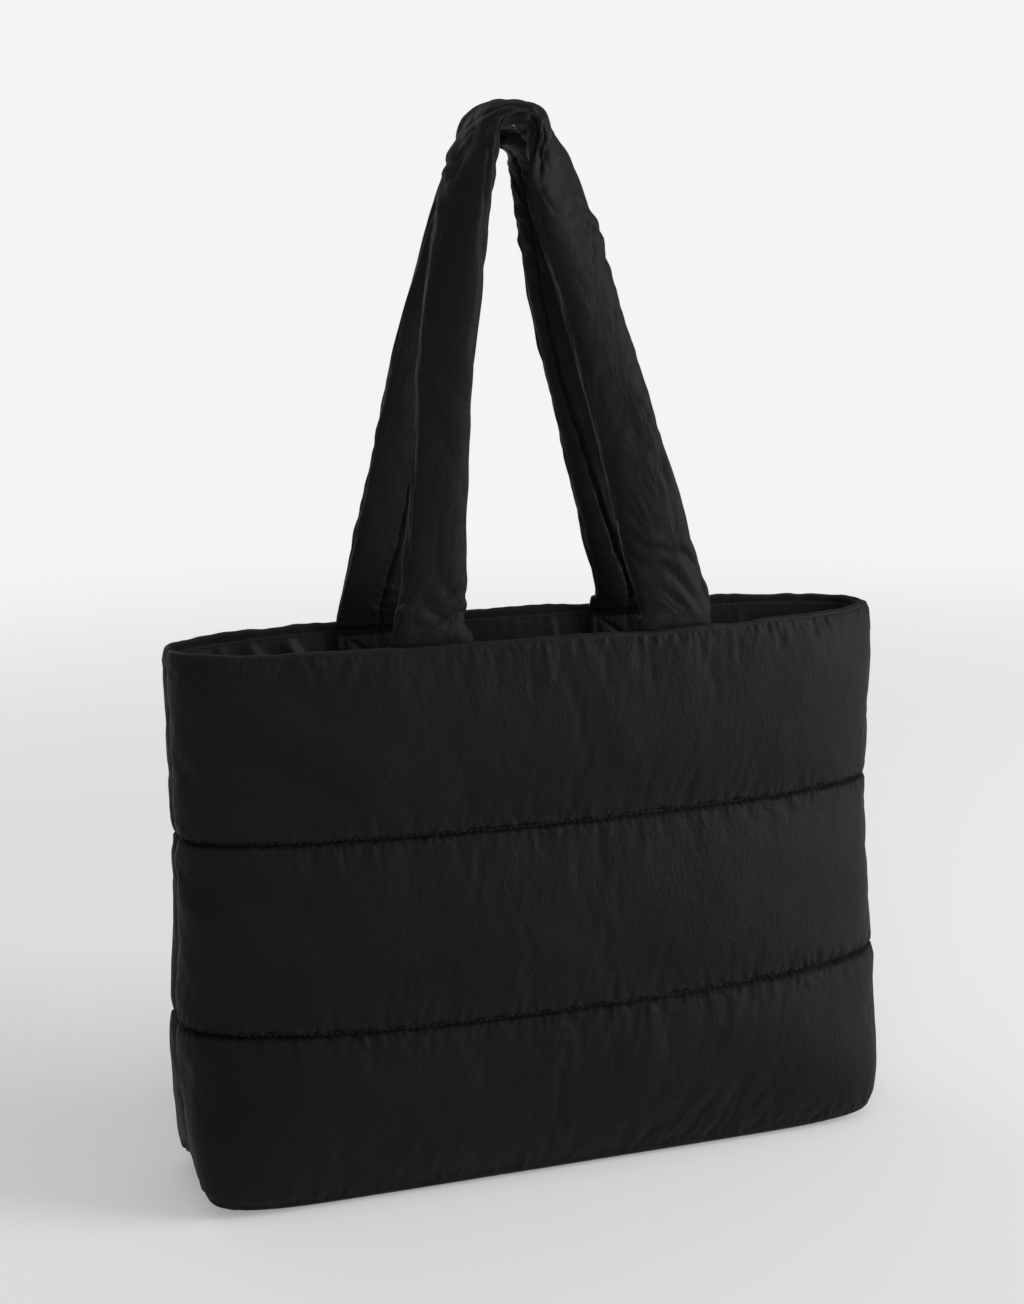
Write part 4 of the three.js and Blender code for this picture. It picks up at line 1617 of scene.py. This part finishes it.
@dataclass
class Studio:
    """Pale paper, soft light and the camera at the photograph's angle."""

    target: tuple[float, float, float] = (-0.01313, 0.0, 0.32203)
    distance: float = 1.3041
    azimuth: float = -18.81
    elevation: float = 11.37
    roll: float = -0.65
    lens: float = 58.45
    sensor: float = 36.0
    floor_radius: float = 90.0
    backdrop: tuple[float, float, float, float] = (0.905, 0.905, 0.905, 1)
    sky_low: tuple[float, float, float, float] = (0.10, 0.10, 0.10, 1)
    sky_high: tuple[float, float, float, float] = (0.78, 0.78, 0.80, 1)
    sky_strength: float = 0.36
    lamps: tuple[Softbox, ...] = (
        Softbox("right softbox", (1.75, -0.85, 0.70), wide=1.1, tall=1.7, power=44.0),
        Softbox("front softbox", (-0.9, -2.4, 1.2), wide=1.6, tall=1.8, power=13.0),
        Softbox("overhead softbox", (0.2, 0.1, 2.4), wide=2.6, tall=2.2, power=15.0),
        Softbox("rear softbox", (-0.9, 2.1, 1.3), wide=1.4, tall=1.6, power=10.0),
    )

    def build(self) -> None:
        """Sets up the camera, the floor, the backdrop and the lights."""
        self._camera()
        self._floor()
        self._backdrop()
        for lamp in self.lamps:
            lamp.hang(Vector(self.target))
        bpy.context.scene.view_settings.view_transform = "Standard"

    def _camera(self) -> None:
        """Places the camera that was fitted to the photograph."""
        turn, rise = math.radians(self.azimuth), math.radians(self.elevation)
        level = math.cos(rise)
        back = Vector((math.sin(turn) * level, -math.cos(turn) * level, math.sin(rise)))
        right = Vector((math.cos(turn), math.sin(turn), 0))
        up = back.cross(right)
        tilt = math.radians(self.roll)
        rolled_right = right * math.cos(tilt) + up * math.sin(tilt)
        rolled_up = up * math.cos(tilt) - right * math.sin(tilt)
        data = bpy.data.cameras.new("camera")
        data.lens, data.sensor_width, data.sensor_fit = self.lens, self.sensor, "AUTO"
        data.clip_end = 200.0
        camera = bpy.data.objects.new("camera", data)
        turned = Matrix((rolled_right, rolled_up, back)).transposed().to_4x4()
        place = Vector(self.target) + back * self.distance
        camera.matrix_world = Matrix.Translation(place) @ turned
        bpy.context.scene.collection.objects.link(camera)
        bpy.context.scene.camera = camera

    def _floor(self) -> None:
        """Lays the paper."""
        sheet = bmesh.new()
        bmesh.ops.create_circle(sheet, cap_ends=True, radius=self.floor_radius, segments=96)
        mesh = bpy.data.meshes.new("paper_floor")
        sheet.to_mesh(mesh)
        sheet.free()
        mesh.materials.append(PaperSweep("pale paper", far=self.backdrop).material())
        floor = bpy.data.objects.new("paper_floor", mesh)
        bpy.context.scene.collection.objects.link(floor)

    def _backdrop(self) -> None:
        """Gives the camera an even backdrop, and the bag a softer light from all round."""
        world = bpy.data.worlds.new("studio")
        bpy.context.scene.world = world
        bench = NodeBench(world)
        seen = bench.node("ShaderNodeLightPath", output="Is Camera Ray")
        shown = bench.node("ShaderNodeBackground", {}, {"Color": self.backdrop, "Strength": 1.0})
        place = bench.node("ShaderNodeTexCoord", output="Generated")
        height = bench.node("ShaderNodeSeparateXYZ", {}, {0: place}, output="Z")
        sky = bench.mix_colour(height.ease(-0.1, 0.9), self.sky_low, self.sky_high)
        strength = self.sky_strength
        light = bench.node("ShaderNodeBackground", {}, {"Color": sky, "Strength": strength})
        mixed = bench.node("ShaderNodeMixShader", {}, {0: seen, 1: light, 2: shown})
        bench.finish("ShaderNodeOutputWorld", mixed)


# Free part of each handle, from its left end over the top to its right end. Columns: across as
# a share of half the spacing, rise as a share of the handle's rise, lean towards the middle
# plane, turn in degrees, and broad and thick as shares of the section.
FRONT_PATH: tuple[Row, ...] = (
    (-0.955, 0.04, 0.02, 3, 0.93, 0.9),
    (-0.915, 0.1, 0.1, 8, 0.87, 1.05),
    (-0.838, 0.325, 0.34, 18, 0.75, 1.15),
    (-0.752, 0.555, 0.6, 30, 0.76, 1.15),
    (-0.595, 0.82, 0.9, 55, 0.80, 0.96),
    (-0.485, 0.932, 1, 76, 0.84, 0.86),
    (-0.4, 0.979, 1, 86, 0.9, 0.82),
    (-0.22, 0.991, 1, 90, 0.9, 0.8),
    (-0.06, 0.973, 1, 84, 0.9, 0.85),
    (0.04, 0.915, 0.98, 56, 0.9, 1),
    (0.115, 0.84, 0.9, 26, 0.86, 1.05),
    (0.245, 0.735, 0.78, 12, 0.82, 1.1),
    (0.455, 0.545, 0.58, 2, 0.82, 1.1),
    (0.665, 0.355, 0.38, -4, 0.88, 1.1),
    (0.865, 0.155, 0.17, -2, 0.99, 1.05),
    (0.98, 0.045, 0.04, 2, 1.03, 0.8),
)
BACK_PATH: tuple[Row, ...] = (
    (-1.12, 0.04, 0.02, 3, 1.02, 0.9),
    (-1.08, 0.1, 0.1, 8, 1, 1),
    (-0.955, 0.26, 0.28, 18, 0.97, 1),
    (-0.755, 0.54, 0.58, 34, 0.93, 1),
    (-0.48, 0.84, 0.9, 56, 0.9, 0.9),
    (-0.365, 0.922, 1, 78, 0.9, 0.85),
    (-0.26, 0.948, 1, 86, 0.9, 0.8),
    (-0.11, 0.956, 1, 90, 0.9, 0.8),
    (0.05, 0.937, 1, 84, 0.9, 0.85),
    (0.135, 0.9, 0.98, 68, 0.9, 0.8),
    (0.215, 0.835, 0.9, 52, 0.9, 0.95),
    (0.335, 0.69, 0.74, 40, 0.92, 1),
    (0.5, 0.525, 0.56, 28, 0.94, 1),
    (0.68, 0.355, 0.38, 16, 0.97, 1),
    (0.87, 0.155, 0.17, 6, 1, 1),
    (0.99, 0.045, 0.04, 2, 1.02, 0.8),
)
# Share of the back handle's length, and how far its seam lies aside of the middle there
BACK_SEAM_DRIFT: tuple[Row, ...] = (
    (0.0, -0.002),
    (0.08, -0.002),
    (0.14, -0.004),
    (0.3, -0.004),
    (0.5, -0.004),
    (0.72, -0.010),
    (0.86, -0.006),
    (0.93, -0.001),
    (1.0, 0.001),
)

FRONT_ZONES: tuple[GatherZone, ...] = (
    GatherZone(0, upward=True, middle=0.085, spread=0.05, reach=0.04, lean=0.55, depth=0.0013),
    GatherZone(2, upward=True, middle=0.06, spread=0.07, reach=0.042, lean=0.35, depth=0.0006),
    GatherZone(2, upward=False, middle=-0.01, spread=0.08, reach=0.035, lean=-0.2, depth=0.0006),
    GatherZone(1, upward=True, middle=-0.01, spread=0.11, reach=0.026, lean=0.3, depth=0.0006),
    GatherZone(1, upward=False, middle=0.04, spread=0.11, reach=0.04, lean=-0.3, depth=0.0006),
    GatherZone(3, upward=False, middle=0.06, spread=0.15, reach=0.022, lean=-0.15, depth=0.0005),
)
BACK_ZONES: tuple[GatherZone, ...] = (
    GatherZone(0, upward=True, middle=-0.06, spread=0.09, reach=0.045, lean=0.25, depth=0.0012),
    GatherZone(2, upward=True, middle=-0.04, spread=0.09, reach=0.045, lean=-0.18, depth=0.001),
    GatherZone(2, upward=False, middle=0.05, spread=0.09, reach=0.045, lean=0.14, depth=0.0009),
    GatherZone(1, upward=False, middle=-0.03, spread=0.13, reach=0.045, lean=0.1, depth=0.0009),
)
FRONT_FOLDS: tuple[Fold, ...] = (
    Fold((-0.225, 0.300), (-0.120, 0.240), 0.011, -0.0034),
    Fold((-0.215, 0.318), (-0.095, 0.262), 0.012, 0.0022),
    Fold((-0.235, 0.272), (-0.150, 0.233), 0.009, -0.0026),
    Fold((-0.235, 0.215), (-0.130, 0.176), 0.012, -0.0030),
    Fold((-0.235, 0.195), (-0.150, 0.150), 0.011, 0.0020),
    Fold((0.020, 0.330), (0.045, 0.245), 0.012, 0.0012),
    Fold((0.070, 0.040), (0.115, 0.012), 0.008, -0.0020),
    Fold((0.105, 0.036), (0.145, 0.014), 0.007, -0.0016),
)
BACK_FOLDS: tuple[Fold, ...] = (
    Fold((0.225, 0.300), (0.110, 0.250), 0.013, -0.0020),
    Fold((-0.225, 0.215), (-0.120, 0.170), 0.013, -0.0018),
    Fold((-0.040, 0.322), (-0.010, 0.250), 0.012, 0.0012),
    Fold((0.225, 0.090), (0.130, 0.050), 0.012, -0.0016),
)
# Folds of the lining's back wall, as metres along the rim and down from it
LINING_FOLDS: tuple[Fold, ...] = (
    Fold((0.128, 0.004), (0.131, 0.120), 0.0024, 0.0030),
    Fold((0.158, 0.004), (0.160, 0.120), 0.0022, 0.0028),
    Fold((0.030, 0.004), (0.033, 0.110), 0.0030, 0.0022),
    Fold((-0.150, 0.003), (-0.120, 0.050), 0.0040, 0.0040),
    Fold((-0.175, 0.003), (-0.150, 0.045), 0.0040, 0.0030),
    Fold((-0.195, 0.003), (-0.178, 0.040), 0.0036, 0.0026),
)
FRONT_CRUSHES: tuple[Crush, ...] = (
    Crush(place=0.352, spread=0.045, across=0.4, lean=0.9, depth=0.0030),
    Crush(place=0.385, spread=0.034, across=-0.6, lean=-0.4, depth=0.0038),
    Crush(place=0.425, spread=0.036, across=0.2, lean=-1.1, depth=0.0034),
    Crush(place=0.490, spread=0.030, across=0.9, lean=1.3, depth=0.0014),
    Crush(place=0.560, spread=0.045, across=1.1, lean=1.1, depth=0.0013),
    Crush(place=0.640, spread=0.045, across=1.1, lean=-1.2, depth=0.0016),
    Crush(place=0.062, spread=0.016, across=0.8, lean=0.6, depth=0.0030),
)
BACK_CRUSHES: tuple[Crush, ...] = (
    Crush(place=0.345, spread=0.045, across=-0.6, lean=-0.9, depth=0.0028),
    Crush(place=0.425, spread=0.040, across=-0.6, lean=1.0, depth=0.0030),
    Crush(place=0.600, spread=0.060, across=0.8, lean=0.9, depth=0.0014),
    Crush(place=0.742, spread=0.018, across=-0.8, lean=0.7, depth=0.0032),
    Crush(place=0.240, spread=0.120, across=-0.9, lean=0.1, depth=0.0009),
)


def corners(box: tuple[Vector, Vector]) -> list[list[float]]:
    """The two corners of a box as plain lists."""
    return [[float(value) for value in corner] for corner in box]


def sew(name: str, paths: Sequence[SewnPath], finish: bpy.types.Material) -> None:
    """Sews one set of paths and lets the stitches ride with the bag."""
    sewn = Topstitching(name).sew(paths, finish)
    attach(sewn, "root")
    log.info("%s: %d faces", name, len(sewn.data.polygons))


def main() -> None:
    """Builds the bag piece by piece."""
    logging.basicConfig(level=logging.INFO, format="%(name)s: %(message)s")
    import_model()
    shell = CrinkledNylon("shell nylon").material()
    strap = CrinkledNylon("handle nylon").material()
    inside = CrinkledNylon(
        "lining nylon",
        deep=(0.0100, 0.0100, 0.0104, 1),
        worn=(0.017, 0.017, 0.0175, 1),
        roughness=0.5,
        specular=0.12,
        crinkle_height=0.00010,
    ).material()
    # the quilting thread keeps the lighter default tones: painted highlight on its stitches
    thread = TwistedThread("sewing thread").material()
    fine_thread = TwistedThread(
        "lining thread", colour=(0.009, 0.009, 0.0095, 1.0), tip=(0.015, 0.015, 0.016, 1)
    ).material()
    shape = BodyShape()

    Studio().build()
    front = QuiltedWall(shape, Side.FRONT, 11, FRONT_ZONES, FRONT_FOLDS)
    front.build("front_wall", "front_panel", shell)
    back = QuiltedWall(shape, Side.BACK, 47, BACK_ZONES, BACK_FOLDS)
    back.build("back_wall", "back_panel", shell)
    PaddedBase(shape).build("base_pad", "base_panel", shell)
    lining = HangingLining(shape, 83, back_folds=LINING_FOLDS)
    lining.build("hanging_lining", "lining", inside)
    seat = HandleSeat(shape, lining)
    front_handle = TubeHandle(shape, seat, Side.FRONT, FRONT_PATH, 131, FRONT_CRUSHES)
    front_handle.build("front_handle_tube", "front_handle", strap)
    back_handle = TubeHandle(
        shape, seat, Side.BACK, BACK_PATH, 173, BACK_CRUSHES, seam_drift=BACK_SEAM_DRIFT
    )
    back_handle.build("back_handle_tube", "back_handle", strap)

    sew("quilting_stitches", front.sewn_lines() + back.sewn_lines(), thread)
    sew("rim_stitches", lining.rim_line(), fine_thread)
    sew("handle_stitches", front_handle.box_stitches() + back_handle.box_stitches(), fine_thread)


if __name__ == "__main__":
    main()
